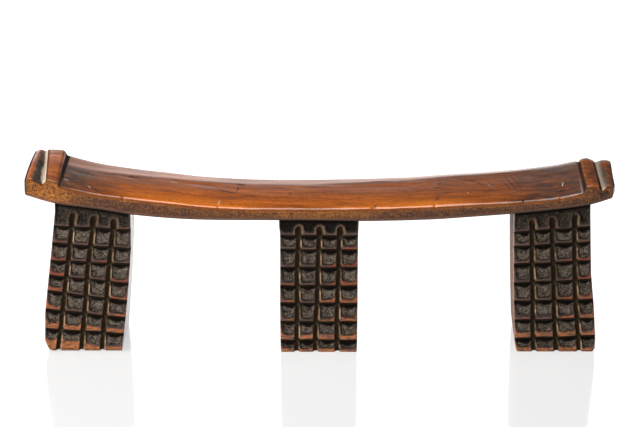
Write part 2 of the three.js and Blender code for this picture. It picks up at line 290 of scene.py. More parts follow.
# Numbers shared by the shapes
def smooth_line(points, x):
    """Height at x on a line through (x, height) points. On each stretch it is a cubic whose slope at
    a point is that of the straight line between the point's two neighbours."""
    p = np.asarray(points, float)
    order = np.arange(len(p))
    before, after = p[np.maximum(order - 1, 0)], p[np.minimum(order + 1, len(p) - 1)]
    slope = (after[:, 1] - before[:, 1]) / (after[:, 0] - before[:, 0])
    i = np.searchsorted(p[1:-1, 0], x)
    run = p[i + 1, 0] - p[i, 0]
    t = np.clip((x - p[i, 0]) / run, -0.2, 1.2)
    return (
        (2 * t**3 - 3 * t**2 + 1) * p[i, 1] + (t**3 - 2 * t**2 + t) * run * slope[i]
        + (3 * t**2 - 2 * t**3) * p[i + 1, 1] + (t**3 - t**2) * run * slope[i + 1]
    )


def ease(value, low, high):
    """0 below low, 1 above high, and 3t^2 - 2t^3 in between. It also runs downwards."""
    t = np.clip((value - low) / (high - low), 0, 1)
    return t * t * (3 - 2 * t)


def blunt_max(a, b, width):
    """The larger of two depths; within width of each other it is rounded up by a parabola."""
    return np.maximum(a, b) + np.maximum(width - np.abs(a - b), 0) ** 2 / (4 * width)


def mottle(points, size, seed):
    """Smooth noise from -1 to 1: random values on a lattice of the given size, blended over each
    lattice cell with 3t^2 - 2t^3 along each axis. size may be one number or one per axis."""
    place = points / np.broadcast_to(np.asarray(size, float), (3,))
    cell = np.floor(place).astype(np.int64)
    t = place - cell
    t = t * t * (3 - 2 * t)
    total = 0
    for corner in np.ndindex(2, 2, 2):
        n = ((cell + corner) * (73856093, 19349663, 83492791)).sum(-1) + seed * 2654435761
        n = (n ^ (n >> 13)) * 1274126177 & 0x7FFFFFFF
        value = ((n ^ (n >> 15)) & 0xFFFF) / 32767.5 - 1
        total = total + value * np.where(corner, t, 1 - t).prod(-1)
    return total


def stray(seed):
    """A repeatable stray of -1 to 1 for a cut's place, as in the solid."""
    return np.sin(STRAY_STEP * seed)


def half_depth(x, sizes):
    """Half of the bar's depth: the waist's, growing with the square of the distance to the ends."""
    share = np.minimum(np.abs(x) / DEPTH_SPAN, 1)
    middle = sizes.middle_depth / MM
    return (middle + (sizes.end_depth / MM - middle) * share**2) / 2


def under_height(x, across):
    """Height of the bar's underside; across runs from -1 at the front edge to 1 at the back."""
    tilt = smooth_line(BACK_LIFT, x) * (across + 1) / 2
    return smooth_line(UNDER_LINE, x) + tilt - UNDER_SAG * (1 - across**2)


# Meshes
def shell(name, grid, materials, masks, caps=(0, 0)):
    """A closed surface from a grid of points whose rows are closed rings. The first and the last row
    are closed by fans from their middles. materials has one index per ring column, caps one per end,
    and masks one grid per name. The faces are turned so that the volume comes out positive."""
    rows, count = grid.shape[:2]
    here = np.arange(rows * count).reshape(rows, count)
    there = np.roll(here, -1, axis=1)
    quads = np.stack([here[:-1], there[:-1], there[1:], here[1:]], -1).reshape(-1, 4)
    ends = [rows * count, rows * count + 1]
    first = np.stack([np.full(count, ends[0]), there[0], here[0]], -1)
    last = np.stack([np.full(count, ends[1]), here[-1], there[-1]], -1)
    points = np.concatenate([grid.reshape(-1, 3), [grid[0].mean(0), grid[-1].mean(0)]])
    triangles = np.concatenate([quads[:, :3], quads[:, [0, 2, 3]], first, last])
    a, b, c = (points[triangles[:, i]] for i in range(3))
    if (a * np.cross(b, c)).sum() < 0:
        quads, first, last = quads[:, ::-1], first[:, ::-1], last[:, ::-1]
    mesh = bpy.data.meshes.new(name)
    mesh.from_pydata(points * MM, [], quads.tolist() + first.tolist() + last.tolist())
    index = np.concatenate([np.tile(materials, rows - 1), np.repeat(caps, count)])
    mesh.polygons.foreach_set("material_index", index.astype(np.int32))
    for mask in MASKS:
        values = masks.get(mask)
        values = np.zeros((rows, count)) if values is None else values
        whole = np.concatenate([values.ravel(), [values[0].mean(), values[-1].mean()]])
        layer = mesh.attributes.new(mask, "FLOAT", "POINT")
        layer.data.foreach_set("value", whole.astype(np.float32))
    made = mesh.attributes.new("made", "FLOAT", "POINT")
    made.data.foreach_set("value", np.ones(len(points), np.float32))
    return bpy.data.objects.new(name, mesh)


# The bar
def spread(rows, spacing):
    """Rows of numbers filled in on straight lines, so that neighbours are about spacing apart in
    their first number, then rounded by two passes of a 1-2-1 average."""
    rows = np.asarray(rows, float)
    parts = [rows[:1]]
    for a, b in zip(rows[:-1], rows[1:]):
        steps = max(1, round(abs(b[0] - a[0]) / spacing))
        share = np.arange(1, steps + 1)[:, None] / steps
        parts.append(a + (b - a) * share)
    out = np.concatenate(parts)
    out[1:-1] = (out[:-2] + 2 * out[1:-1] + out[2:]) / 4
    return out


def end_stations(rows, side):
    """Stations of one end from the tip inwards: a quarter-ellipse of shrinking sections rounds the
    tip, then the ridges and the notch follow. Each station is X front, X back, top front, top back,
    crown, inset, bow."""
    body = spread(rows, END_SPACING)
    tip = np.repeat(body[:1], 5, axis=0)
    angle = np.radians([80, 62, 44, 27, 11])[:, None]
    tip[:, :2] += side * TIP_BULGE * np.sin(angle)
    inset = np.concatenate([TIP_INSET * (1 - np.cos(angle[:, 0])), np.zeros(len(body))])
    stations = np.concatenate([tip, body])
    bow = side * END_BOW * ease(np.abs(stations[:, 0]), 240, 245)
    return np.column_stack([stations, inset, bow])


def bar_stations(sizes):
    """All stations of the bar from the left tip to the right tip: even ones along the seat, with
    more at the nicks and at the feet of the ridges."""
    reach = SEAT_LINE[-1][0] - FOOT_OF_RIDGE
    marks = np.linspace(-reach, reach, round(2 * reach / SEAT_SPACING))
    nicks = np.concatenate([x + np.arange(-1.6, 1.7, 0.8) for x, *_ in NICKS])
    feet = np.outer((-1, 1), (216.0, 217.0, 217.9, 218.7, 219.4)).ravel()
    x = np.unique(np.round(np.concatenate([marks, nicks, feet]), 2))
    x = x[np.concatenate([[True], np.diff(x) > 0.5])]
    top, none = smooth_line(SEAT_LINE, x), np.zeros_like(x)
    crown = sizes.seat_crown / MM * (1 - (np.abs(x) / CROWN_SPAN) ** 6)
    seat = np.column_stack([x, x, top, top + smooth_line(BACK_LIFT, x), crown, none, none])
    return np.concatenate([end_stations(LEFT_END, -1), seat, end_stations(RIGHT_END, 1)[::-1]])


def bar_ring(top_steps=30, face_steps=9, under_steps=16):
    """The bar's cross-section as columns: side (-1 front, 1 back, 0 between), share of the arris
    radius in from the face, share of the arris radius off the top or underside, place across
    between the arrises, height from underside 0 to top 1, and material index."""
    rows = []
    for side in (-1, 1):
        face = np.linspace(0, 1, face_steps + 1)[1:-1]
        lower = [(side, i, o, side, 0, SIDE) for i, o in ARRIS_PROFILE[::-1]]
        flat = [(side, 0, 1, side, f, SIDE) for f in face]
        upper = [(side, i, o, side, 1, TOP if o < 0.5 else SIDE) for i, o in ARRIS_PROFILE]
        rows.append(lower + flat + upper)
    front, back = rows
    top = [(0, 0, 0, a, 1, TOP) for a in np.linspace(-1, 1, top_steps + 1)[1:-1]]
    under = [(0, 0, 0, a, 0, SIDE) for a in np.linspace(1, -1, under_steps + 1)[1:-1]]
    return np.array(front + top + back[::-1] + under, float)


def bar_surface(sizes):
    """The bar's points and masks. A station gives the edges; across it the top rises in front by
    crown * (1 - across^2), stays level, and falls in a flat strip to the back edge. The long faces
    stand upright with a narrow facet along their lower edge, and the arrises are worn flat."""
    stations, ring = bar_stations(sizes), bar_ring()
    x_front, x_back, top_front, top_back, crown, inset, bow = (c[:, None] for c in stations.T)
    side, inward, off, place, height, _ = (column[None] for column in ring.T)
    half = half_depth((x_front + x_back) / 2, sizes) - inset
    tight = sizes.arris / MM
    broad = tight + (sizes.front_arris / MM - tight) * ease(np.abs(x_front), 222, 212)
    along = np.concatenate([x_front, 0 * x_front, 0 * x_front], 1)
    broad = broad * (1 + 0.25 * mottle(along, 17, 7)[:, None])
    arris = np.where((side == -1) & (height == 1), broad, tight)
    flat_front = 1 - np.where(height == 1, broad, tight) / half
    flat = np.where(place < 0, flat_front, 1 - tight / half)
    across = np.where(side == 0, place * flat, side * (1 - inward * arris / half))
    x = x_front + (x_back - x_front) * (across + 1) / 2 + bow * (1 - across**2)
    strip = smooth_line(BACK_STRIP, x_front) / half
    fall = blunt_max((across - 1 + strip) / strip, 0, 0.12)
    bend = np.where(across > 0, fall, across**2)
    top = top_front + (top_back - top_front) * (across + 1) / 2 + crown * (1 - bend) - inset
    under = under_height(x, across) + inset
    face = (height > 0) & (height < 1)
    low = under + np.where(side == 0, 0, np.where(face, tight, off * tight))
    high = top - np.where(side == 0, 0, np.where(face & (side == -1), broad, off * arris))
    z = low + (high - low) * height
    facet = LOWER_FACET * ease(z - under, 4.2, 0.4) * (np.abs(across) > 0.9)
    y = across * half - np.sign(across) * facet * (side != 0)
    points = np.stack(np.broadcast_arrays(x, y, z), -1)
    scrape(points, across, face & (side != 0), height == 1)
    cut_nicks(points, top, half, height == 1)
    masks = bar_masks(points, top, under, across, strip)
    ends = [scaled_caps(points[0]), scaled_caps(points[-1])]
    spare = len(ends[0])
    masks = {
        name: np.concatenate([np.repeat(m[:1], spare, 0), m, np.repeat(m[-1:], spare, 0)])
        for name, m in masks.items()
    }
    return np.concatenate([ends[0][::-1], points, ends[1]]), ring[:, 5].astype(int), masks


def scrape(points, across, on_face, on_top):
    """Slow waves of a tenth or two of a millimetre that the scraper left: up and down on the seat,
    in and out on the long faces, fading away before the tips."""
    waves = 0.16 * mottle(points, (34, 9, 9), 3) + 0.08 * mottle(points, (12, 5, 5), 4)
    fade = ease(np.abs(points[..., 0]), 250, 236)
    points[..., 2] += waves * fade * (on_top & (np.abs(across) < 0.97))
    waves = waves * 1.3 + 0.12 * mottle(points, (9, 9, 5), 6)
    points[..., 1] += np.sign(across) * waves * fade * on_face


def cut_nicks(points, top, half, on_top):
    """Presses each nick into the front arris: deepest on its line, eased out across and down."""
    for nick_x, run, reach, depth, width in NICKS:
        down = np.clip((top - points[..., 2]) / reach, 0, 1)
        away = np.abs(points[..., 0] - nick_x - run * down)
        dent = depth * ease(away, width, 0) * ease(down, 1, 0.4) * (points[..., 1] < -half + 4)
        points[..., 1] += dent
        points[..., 2] -= dent * 0.7 * on_top


def scaled_caps(ring):
    """Rings that shrink towards the middle of an end face and bulge out a little."""
    middle = ring.mean(0)
    out = np.sign(middle[0])
    rings = [middle + (ring - middle) * share for share in (0.78, 0.5, 0.22)]
    for r, bulge in zip(rings, (0.35, 0.6, 0.7)):
        r[:, 0] = middle[0] + (ring[:, 0] - middle[0]) * 0.3 + out * bulge
    return np.array(rings)


# Grime along the seat, bright wear along its front and darkening along the front face, as shares at
# places along X.
SEAT_GRIME = [
    (-224, 0.95), (-206, 0.8), (-190, 0.5), (-176, 0.34), (-160, 0.12), (-120, 0.0), (-60, 0.02),
    (-18, 0.1), (40, 0.2), (80, 0.3), (120, 0.36), (151, 0.52), (176, 0.82), (196, 1.0),
    (214, 1.0), (224, 1.0),
]
FRONT_SHINE = [
    (-200, 0.0), (-185, 0.0), (-150, 0.35), (-90, 0.4), (-40, 0.1), (0, 0.0), (40, 0.3), (87, 0.9),
    (118, 0.4), (140, 0.0), (170, 0.0),
]
FACE_DARKENING = [
    (-252, 0.0), (-226, 0.04), (-208, 0.6), (-188, 1.0), (-150, 1.0), (-110, 0.8), (-60, 0.68),
    (0, 0.3), (60, 0.85), (110, 0.95), (160, 1.0), (215, 0.95), (230, 0.45), (252, 0.5),
]


def bar_masks(points, top, under, across, strip):
    """Where the bar is dirty, rubbed bright, dusty, sooty or marked with black lines, and where light
    and shade are painted. Painted shade darkens the lower edge above the legs; a deep orange line runs
    just under the front arris, and a pinkish painted reflection of the floor along the lower edges."""
    x, z = points[..., 0], points[..., 2]
    share, below, above = (across + 1) / 2, top - z, z - under
    upper, on_front = below < 1.6, across < -0.9
    blotch, smear = mottle(points, (14, 8, 8), 11), mottle(points, (4, 5, 4), 13)
    soot_and_shade, pale, black_mark, tip = ridge_masks(x, share, blotch, mottle(points, (1.6, 7, 3), 12))
    shine = smooth_line(FRONT_SHINE, x) * ease(across, -0.55, -0.85) * (1 + 0.2 * blotch)
    # Painted reflection of the white floor: a pinkish line along the lower edges.
    floor_reflection = ease(above, 0.3, 1.0) * ease(above, 3.2, 2.2) * (np.abs(across) > 0.9)
    dull = np.maximum.reduce([
        0.55 * ease(x, -221.5, -223.5) * ease(share, 0.75, 0.35),
        ease(np.abs(x + 223.4 - 0.6 * share), 1.2, 0.6),
        0.9 * ease(x, 221.5, 223.5) * ease(share, 1.0, 0.8),
        0.35 * ease(x, 150, 215) * ease(share, 0.8, 0.6),
    ])
    over_leg = 0
    for leg in LEGS:
        _, left, right = leg["outline"][0]
        over_this = ease(x, left - 5, left + 2) * ease(x, right + 5, right - 2)
        over_leg = np.maximum(over_leg, over_this)
    smudge = np.maximum(
        ease(np.abs(x - 237.5), 5.5, 2.0) * ease(below, 2.6, 3.4) * ease(below, 8.5, 5.0),
        ease(np.abs(x - 230), 6, 4) * ease(np.abs(below - 3.6), 1.0, 0.3),
    )
    smudge = smudge * (0.85 + 0.3 * smear) * on_front
    # Painted shade on the bar's lower edge where it overhangs the legs.
    join = 0.8 * over_leg * ease(above, 2.4, 0.4)
    masks = {
        "dirt": bar_dirt(x, across, strip, below, blotch, smear),
        "edge": ease(below, 0.9, 1.6) * ease(below, 3.4, 2.4) * on_front,
        "worn": np.where(upper, shine, floor_reflection),
        "dust": np.where(upper, dull * (across > -0.93), 0),
        "soot_and_shade": np.where(upper, soot_and_shade, np.maximum(join, 0.8 * tip)),
        "pale": np.where(upper, pale, 0),
        "black_mark": np.where(upper, black_mark, np.maximum(0.7 * tip, smudge)),
    }
    return {name: np.clip(mask, 0, 1) for name, mask in masks.items()}


def bar_dirt(x, across, strip, below, blotch, smear):
    """Grime on the seat, most of all beside the ridges and towards the right end; a darker line in
    front of the back strip and less grime on the strip, whose lighter colour is a painted reflection;
    blotches on the ridged ends; darkening of the long faces, darkest below the right notch."""
    seat = smooth_line(SEAT_GRIME, x) + 0.1 * blotch
    seat = seat + 0.2 * ease(across, -0.75, 0.0) * ease(x, 150, 100)
    onto_strip = across - 1 + strip
    # Less on the back strip: a lighter colour painted where the strip reflects the bright cove.
    seat = seat * (1 - 0.6 * ease(onto_strip, -0.02, 0.08))
    # A darker line just in front of the back strip.
    seat = seat + 0.35 * ease(np.abs(onto_strip + 0.05), 0.09, 0.0)
    ends = 0.3 + 0.3 * blotch + (0.28 + 0.35 * smear) * ease(x, 215, 226)
    ends = ends + 0.15 * ease(x, 238, 243)
    low = ease(below, 3, 13) * ease(x, -222, -190)
    face = smooth_line(FACE_DARKENING, x) * ease(below, 1.5, 5) + 0.3 * low + 0.14 * blotch
    face = face + 0.5 * (ease(np.abs(x - 236), 10, 4) * ease(below, 1, 4))
    on_top = np.where(np.abs(x) < 221.5, seat, ends)
    return np.where(below < 1.6, on_top, np.where(np.abs(across) > 0.95, face, 0.5))


def ridge_masks(x, share, blotch, fine):
    """Soot, painted highlights, black lines and the darkened tips of the ridged ends, from X and the
    share of the depth. Each notch is black on one wall and has a painted highlight on the other, where
    the light falls on it; black lines run along the feet of the ridges and the steep walls; a pale
    curl lies beside the right ridge at the back. The darkened tips are painted shade."""
    left, right = x + 235.3 + 3.9 * share, x - 235.8 - 0.6 * share
    slope_start = -10.2 + 4.5 * share
    left_slope = ease(left, slope_start + 0.8 * fine, slope_start + 3 + 1.2 * fine) * (left < 0.1)
    left_slope = left_slope * (1 - 0.5 * ease(share, 0.6, 0.95) * (0.8 + 0.6 * fine))
    # Where the painted highlight on the left notch's wall starts, moved with the share of the depth.
    dusty = 0.2 + 1.2 * ease(share, 0.0, 0.12) * ease(share, 0.75, 0.3) + 0.5 * fine
    wall_end = 2.4 - 0.6 * share
    left_wall = ease(left, -dusty - 0.9, -dusty + 0.7) * ease(left, wall_end + 0.7, wall_end)
    left_black_mark = ease(np.abs(left - 3.3 + 0.6 * share), 0.8, 0.3)
    right_wall = ease(right, -2.6, -1.8) * (right < 0.1)
    # Painted highlight on the right notch's rising wall.
    right_slope = ease(right, 0.1, 0.5) * ease(right, 4.4 + 0.6 * fine, 0.9)
    right_dark = ease(right, 1.6, 3.6) * ease(right, 8.4 + fine, 5.4)
    right_dark = right_dark * (0.85 + 0.2 * fine) * (1 - 0.6 * ease(share, 0.55, 0.85))
    left_foot = ease(x + 222.9 - 0.9 * share, 0.0, 0.6) * ease(x + 220.1 - 2.1 * share, 0.5, -0.3)
    right_foot = ease(x - 0.4 * share, 221.0, 221.5) * ease(x - 0.4 * share, 223.4, 222.9)
    curl = ease(np.abs(x - 220.1 - 0.4 * share), 1.0, 0.4) * ease(share, 0.8, 0.55)
    curl = curl * (0.75 + 0.25 * blotch)
    # Painted shade: the tips darkened into a dark outline.
    tip = ease(np.maximum(x - 245.2 - 4.6 * share, -x - 249.4 + 2.5 * share), -0.5, 0.5)
    # Black lines along the feet of the ridges, the steep walls and the tips.
    black_mark = np.maximum.reduce([left_foot, right_foot, right_wall, 0.85 * left_black_mark, tip])
    pale = np.maximum.reduce([left_wall, right_slope, 0.8 * curl]) * (1 - black_mark)
    return np.maximum(left_slope, right_dark) * (1 - pale), pale, black_mark, tip


# The legs
def face_at(leg, side, z):
    """Y of a leg's front (side -1) or back (side 1) face at a height."""
    low, high = leg["front"] if side < 0 else leg["back"]
    return side * (low + (high - low) * z / leg["outline"][0][0])


def edge_at(leg, which, z):
    """X of a leg's left (which 1) or right (which 2) edge at a height, on straight stretches."""
    rows = np.array(leg["outline"][::-1], float)
    return np.interp(z, rows[:, 0], rows[:, which])


def head_height(leg, places):
    """Height at which an upright cut starts."""
    return smooth_line(UNDER_LINE, places[-1]) - leg["head_drop"]


def upright_at(leg, places, z, seed):
    """X of an upright cut at a height: a smooth line through its places, plus the hand's stray."""
    top = head_height(leg, places)
    levels = [top, top - HEAD_LENGTH / 3, top - HEAD_LENGTH, top - 3 * HEAD_LENGTH, 72, 48, 24, -6]
    strays = HAND_WANDER * stray(seed + np.arange(8))
    straight = smooth_line(list(zip(LEVELS_OF_UPRIGHTS, places)), z)
    return straight + np.interp(z, levels[::-1], strays[::-1])


def upright_line(leg, index, side, z, number):
    """X of upright cut number, 1 to 3, on the front where side is negative, else on the back."""
    seed = 100 * index + 11 * (number - 1)
    front, back = (
        upright_at(leg, leg["uprights"][number - 1], z, s) for s in (seed, seed + BACK_SEED)
    )
    return np.where(side < 0, front, back)


def level_at(leg, heights, x, seed):
    """Height of a level cut's floor: straight from left to right, plus the hand's stray."""
    _, left, right = leg["outline"][2]
    marks = np.linspace(left - 6, right + 6, 6)
    share = (x - left) / (right - left)
    straight = heights[0] + (heights[1] - heights[0]) * share
    return straight + np.interp(x, marks, HAND_WANDER * stray(seed + np.arange(6)))


def leg_rows():
    """The leg's rows from the bar to the ground, as (row of bosses, kind, share): kind 0 lies between
    the cut above and the lip, kind 1 on the wall between the lip and the next cut's floor."""
    shares = [0, 0.05, 0.1, 0.16, 0.23, 0.31, 0.4, 0.49, 0.58, 0.66, 0.73, 0.8, 0.87, 0.94]
    rows = []
    for row in range(ROWS_OF_BOSSES):
        rows += [(row, 0, s) for s in shares]
        if row < ROWS_OF_BOSSES - 1:
            rows += [(row, 1, s) for s in (0, 0.25, 0.55, 0.82)]
    return np.array(rows + [(ROWS_OF_BOSSES - 1, 0, 1)], float)


def face_columns(offsets, inner):
    """Columns of one carved face from left to right, as (line a, offset, line b, offset, share,
    column of bosses): close together on both walls of an upright cut, inner ones between."""
    face = []
    for k in range(COLUMNS_OF_BOSSES):
        start = CORNER if k == 0 else offsets[0]
        stop = -CORNER if k == COLUMNS_OF_BOSSES - 1 else -offsets[0]
        if k > 0:
            face += [(k, o, k, 0, 0, k) for o in offsets[::-1]]
        first = 0 if k == 0 else 1
        last = inner + 1 if k < COLUMNS_OF_BOSSES - 1 else inner + 2
        face += [(k, start, k + 1, stop, n / (inner + 1), k) for n in range(first, last)]
        if k < COLUMNS_OF_BOSSES - 1:
            face += [(k + 1, -o, k + 1, 0, 0, k) for o in offsets]
    return face


def leg_ring():
    """The leg's columns round its section: X from line a plus an offset to line b plus an offset, at
    a share; Y as share from front to back face plus an offset; column of bosses; side; material.
    Lines 0 and 4 are the leg's edges, 1 to 3 the upright cuts."""
    ahead = face_columns((4.3, 3.6, 3.1, 2.6, 2.1, 1.5, 0.7), 8)
    behind = face_columns((4.0, 3.2, 2.4, 1.5, 0.6), 5)
    ring = [(a, oa, b, ob, s, 0, 0, k, -1, CARVED) for a, oa, b, ob, s, k in ahead]
    turn = np.radians((30, 60, 90))
    right = [(4, -CORNER * (1 - math.sin(t)), 4, 0, 0, CORNER * (1 - math.cos(t))) for t in turn]
    ring += [(a, oa, b, ob, s, 0, y, 3, -1, CARVED) for a, oa, b, ob, s, y in right]
    depths = np.linspace(0, 1, 9)
    inset = CARVED_CORNER * (1 - 2 * depths)
    ring += [(4, 0, 4, 0, 0, d, i, 3, -1 if d < 0.5 else 1, SIDE) for d, i in zip(depths, inset)]
    ring += [(a, oa, b, ob, s, 1, -y, 3, 1, CARVED) for a, oa, b, ob, s, y in right[::-1]]
    ring += [(a, oa, b, ob, s, 1, 0, k, 1, CARVED) for a, oa, b, ob, s, k in behind[::-1]]
    left = [(0, -o, 0, 0, 0, y) for _, o, _, _, _, y in right]
    ring += [(a, oa, b, ob, s, 1, -y, 0, 1, CARVED) for a, oa, b, ob, s, y in left]
    ring += [(0, 0, 0, 0, 0, 1 - d, -i, 0, 1 if d < 0.5 else -1, SIDE) for d, i in zip(depths, inset)]
    ring += [(a, oa, b, ob, s, 0, y, 0, -1, CARVED) for a, oa, b, ob, s, y in left[::-1]]
    return np.array(ring, float)


def leg_surface(index, sizes):
    """A leg's points and masks. Rows follow the level cuts and columns the upright cuts, so that
    each edge of the carving has its own line of points; heights and places depend on each other, so
    they are found in a few rounds. The carving then pushes the points in from both faces."""
    leg = LEGS[index]
    wall = sizes.upper_wall / MM
    rows, ring = leg_rows(), leg_ring()
    row, kind, share = (column[:, None] for column in rows.T)
    a, a_off, b, b_off, part, deep, y_off, column, side, _ = (c[None] for c in ring.T)
    shape = (len(rows), len(ring))
    pick = np.broadcast_to(row.astype(int), shape)[None]
    z = np.broadcast_to(110 * (1 - row / ROWS_OF_BOSSES), shape)
    for _ in range(4):
        at_a = line_at(leg, index, side, deep, z, a) + a_off
        at_b = line_at(leg, index, side, deep, z, b) + b_off
        x = at_a + (at_b - at_a) * part
        floors = [cut_floor(leg, index, side, deep, x, n) for n in range(ROWS_OF_BOSSES + 1)]
        above = np.take_along_axis(np.stack(floors), pick, 0)[0]
        below = np.take_along_axis(np.stack(floors), pick + 1, 0)[0]
        lip = np.where(row == ROWS_OF_BOSSES - 1, 0, below + wall)
        z = np.where(kind == 0, above + (lip - above) * share, lip + (below - lip) * share)
    front, back = face_at(leg, -1, z), face_at(leg, 1, z)
    y = front + (back - front) * deep + y_off
    left, right = (line_at(leg, index, side, deep, z, column + n) for n in (0, 1))
    depth, masks = boss_relief(
        leg, index, sizes, x, y, z, row, column, side, above - z, z - below, left, right
    )
    plain = (ring[:, 9] == SIDE) & (deep[0] > 0) & (deep[0] < 1)
    for mask in masks.values():
        mask[:, plain] = 0
    # The plain sides are darker towards the bar above them.
    masks["dirt"] = np.where(plain, 0.45 + 0.4 * ease(z, 80, 112), 0.0)
    masks["dust"][:, plain] = leg["planed"]
    height, wear = leg["foot_wear"]
    low = np.clip(1 - z / height, 0, 1)
    depth = depth + wear * (1 - np.sqrt(1 - low**2 * 0.98))
    points = np.stack([x, np.clip(y, front + depth, back - depth), z], -1)
    top = points[:1] + (0, 0, INTO_BAR)
    middle = points[-1:].mean(1, keepdims=True)
    sole = middle + (points[-1:] - middle) * (*SOLE_RIM, 0)
    sole[..., 1] = np.clip(sole[..., 1], front[-1:] * SOLE_RIM[1], back[-1:] * SOLE_RIM[1])
    sole[..., 2] = 0
    masks = {name: np.concatenate([m[:1], m, m[-1:] * 0]) for name, m in masks.items()}
    return np.concatenate([top, points, sole]), ring[:, 9].astype(int), masks


def line_at(leg, index, side, deep, z, line):
    """X of the line that each column leans on: lines 0 and 4 are the leg's edges, which shift from
    front to back by its twist, 1 to 3 the upright cuts."""
    low, high = leg["twist"]
    shift = (low + (high - low) * z / leg["outline"][0][0]) * deep
    x = np.where(line == 0, edge_at(leg, 1, z), edge_at(leg, 2, z)) + shift
    for number in range(1, COLUMNS_OF_BOSSES):
        x = np.where(line == number, upright_line(leg, index, side, z, number), x)
    return x


def cut_floor(leg, index, side, deep, x, number):
    """Height of the floor of level cut number, 1 to 7; 0 is the bar's underside, 8 the ground."""
    if number == 0:
        across = np.where(side < 0, -0.95, 0.95) * np.ones(x.shape)
        across = np.where((deep > 0) & (deep < 1), 2 * deep - 1, across)
        return under_height(x, across * 0.93)
    if number == ROWS_OF_BOSSES:
        return np.zeros(x.shape)
    heights = leg["levels"][number - 1]
    seed = 100 * index + 7 * (number - 1) + 3
    front, back = (level_at(leg, heights, x, s) for s in (seed, seed + BACK_SEED))
    return front + (back - front) * np.clip(deep, 0, 1)


def upright_cuts(leg, index, sizes, x, z, side):
    """The upright cuts at each point: signed distance in mm to the nearest one's rim, negative
    inside, where a cut is a slot with a round head; how far along the slot the point is; which
    side of the cut it is on; and the depth, which falls over a steep wall to a flat floor."""
    gap = np.full(x.shape, 99.0)
    along, right_hand = np.zeros(x.shape), np.zeros(x.shape)
    for number, places in enumerate(leg["uprights"], 1):
        line = upright_line(leg, index, side, z, number)
        below = head_height(leg, places) + HEAD_RISE - z
        half = SLOT_HALF + (HEAD_HALF - SLOT_HALF) * (1 - ease(below, HEAD_LENGTH, 3 * HEAD_LENGTH))
        away = np.abs(x - line)
        this = np.where(below < half, np.hypot(away, half - below) - half, away - half)
        nearer = this < gap
        gap = np.where(nearer, this, gap)
        along = np.where(nearer, below, along)
        right_hand = np.where(nearer, x > line, right_hand)
    full = sizes.cut_depth / MM * (0.5 + 0.5 * ease(along, 0, 1.4 * HEAD_LENGTH))
    return gap, along, right_hand, full * np.clip(-gap / SLOT_WALL, 0, 1)


def boss_relief(leg, index, sizes, x, y, z, row, column, side, drop, rise, left, right):
    """Depth of the carving and its masks at each point, given the distances down from the cut above
    and up from the cut below, and X of the upright cuts on both sides."""
    row, column = (np.broadcast_to(v, x.shape).astype(int) for v in (row, column))
    side = np.broadcast_to(side, x.shape)
    rng = np.random.default_rng(40 + index)
    luck = rng.uniform(-1, 1, (2, 8, ROWS_OF_BOSSES, COLUMNS_OF_BOSSES))
    luck = luck[(side > 0).astype(int), :, row, column]
    points = np.stack([x, y, z], -1)
    last = row == ROWS_OF_BOSSES - 1
    above_lip = np.where(last, rise, rise - sizes.upper_wall / MM)
    share = np.clip((x - left) / (right - left), 0, 1)
    at = SimpleNamespace(
        z=z, row=row, luck=luck, drop=drop, rise=rise, above_lip=above_lip, first=row == 0, last=last,
        down=np.clip(drop / np.maximum(drop + above_lip, 1), 0, 1), left=x - left, right=right - x,
        outer_left=column == 0, outer_right=column == COLUMNS_OF_BOSSES - 1,
        place=(column + share) / COLUMNS_OF_BOSSES,
        dip=np.sin(np.pi * np.clip((share - 0.13) / 0.74, 0, 1) ** 1.3),
        wobble=mottle(points, 2.8, 21), ragged=mottle(points, (1.6, 2, 1.4), 25),
        lumps=0.6 * mottle(points, 1.9, 22) + 0.6 * mottle(points, (3.4, 3.4, 2.8), 23),
    )
    at.gap, at.along, at.right_hand, upright = upright_cuts(leg, index, sizes, x, z, side)
    at.strength, at.low_favour = wear_shares(leg, at)
    at.inside = burnt_field(leg, at)
    at.hollow = ease(at.inside, -0.1, 1.2)
    boss = boss_depth(sizes, at)
    depth = blunt_max(boss, upright, 0.5) + 0.06 * mottle(points, 2.4, 24)
    at.in_cut = ease(upright - boss, -0.15, 0.25)
    # The rims round the cuts' heads stand a little proud and carry a painted highlight in the edge
    # mask.
    at.rim = ease(np.abs(at.gap - 0.4), 1.0, 0.2) * ease(at.along, 13, 9)
    at.rim = leg["rim"] * (at.rim * ease(above_lip, -0.4, 0.4))
    masks = boss_masks(leg, at)
    return depth - 0.3 * at.rim, {name: np.clip(mask, 0, 1) for name, mask in masks.items()}


def wear_shares(leg, at):
    """How strongly each boss is rubbed, from 0 to 1, and the same for the two lowest rows alone: the
    leg's own shares, eased across its width, times a share by row, give or take the boss's luck."""
    left, right, low_left, low_right = leg["bright"]
    high = np.maximum(left * ease(at.place, 0.26, 0.18), right * ease(at.place, 0.42, 0.9))
    low = low_left + (low_right - low_left) * ease(at.place, 0.3, 0.75)
    by_row = np.interp(at.row, range(ROWS_OF_BOSSES), WEAR_BY_ROW)
    strength = np.where(at.row < LOW_ROWS, high * by_row, low)
    return np.clip(strength * (1 + 0.35 * at.luck[..., 5]) + 0.12 * at.luck[..., 6], 0, 1), low


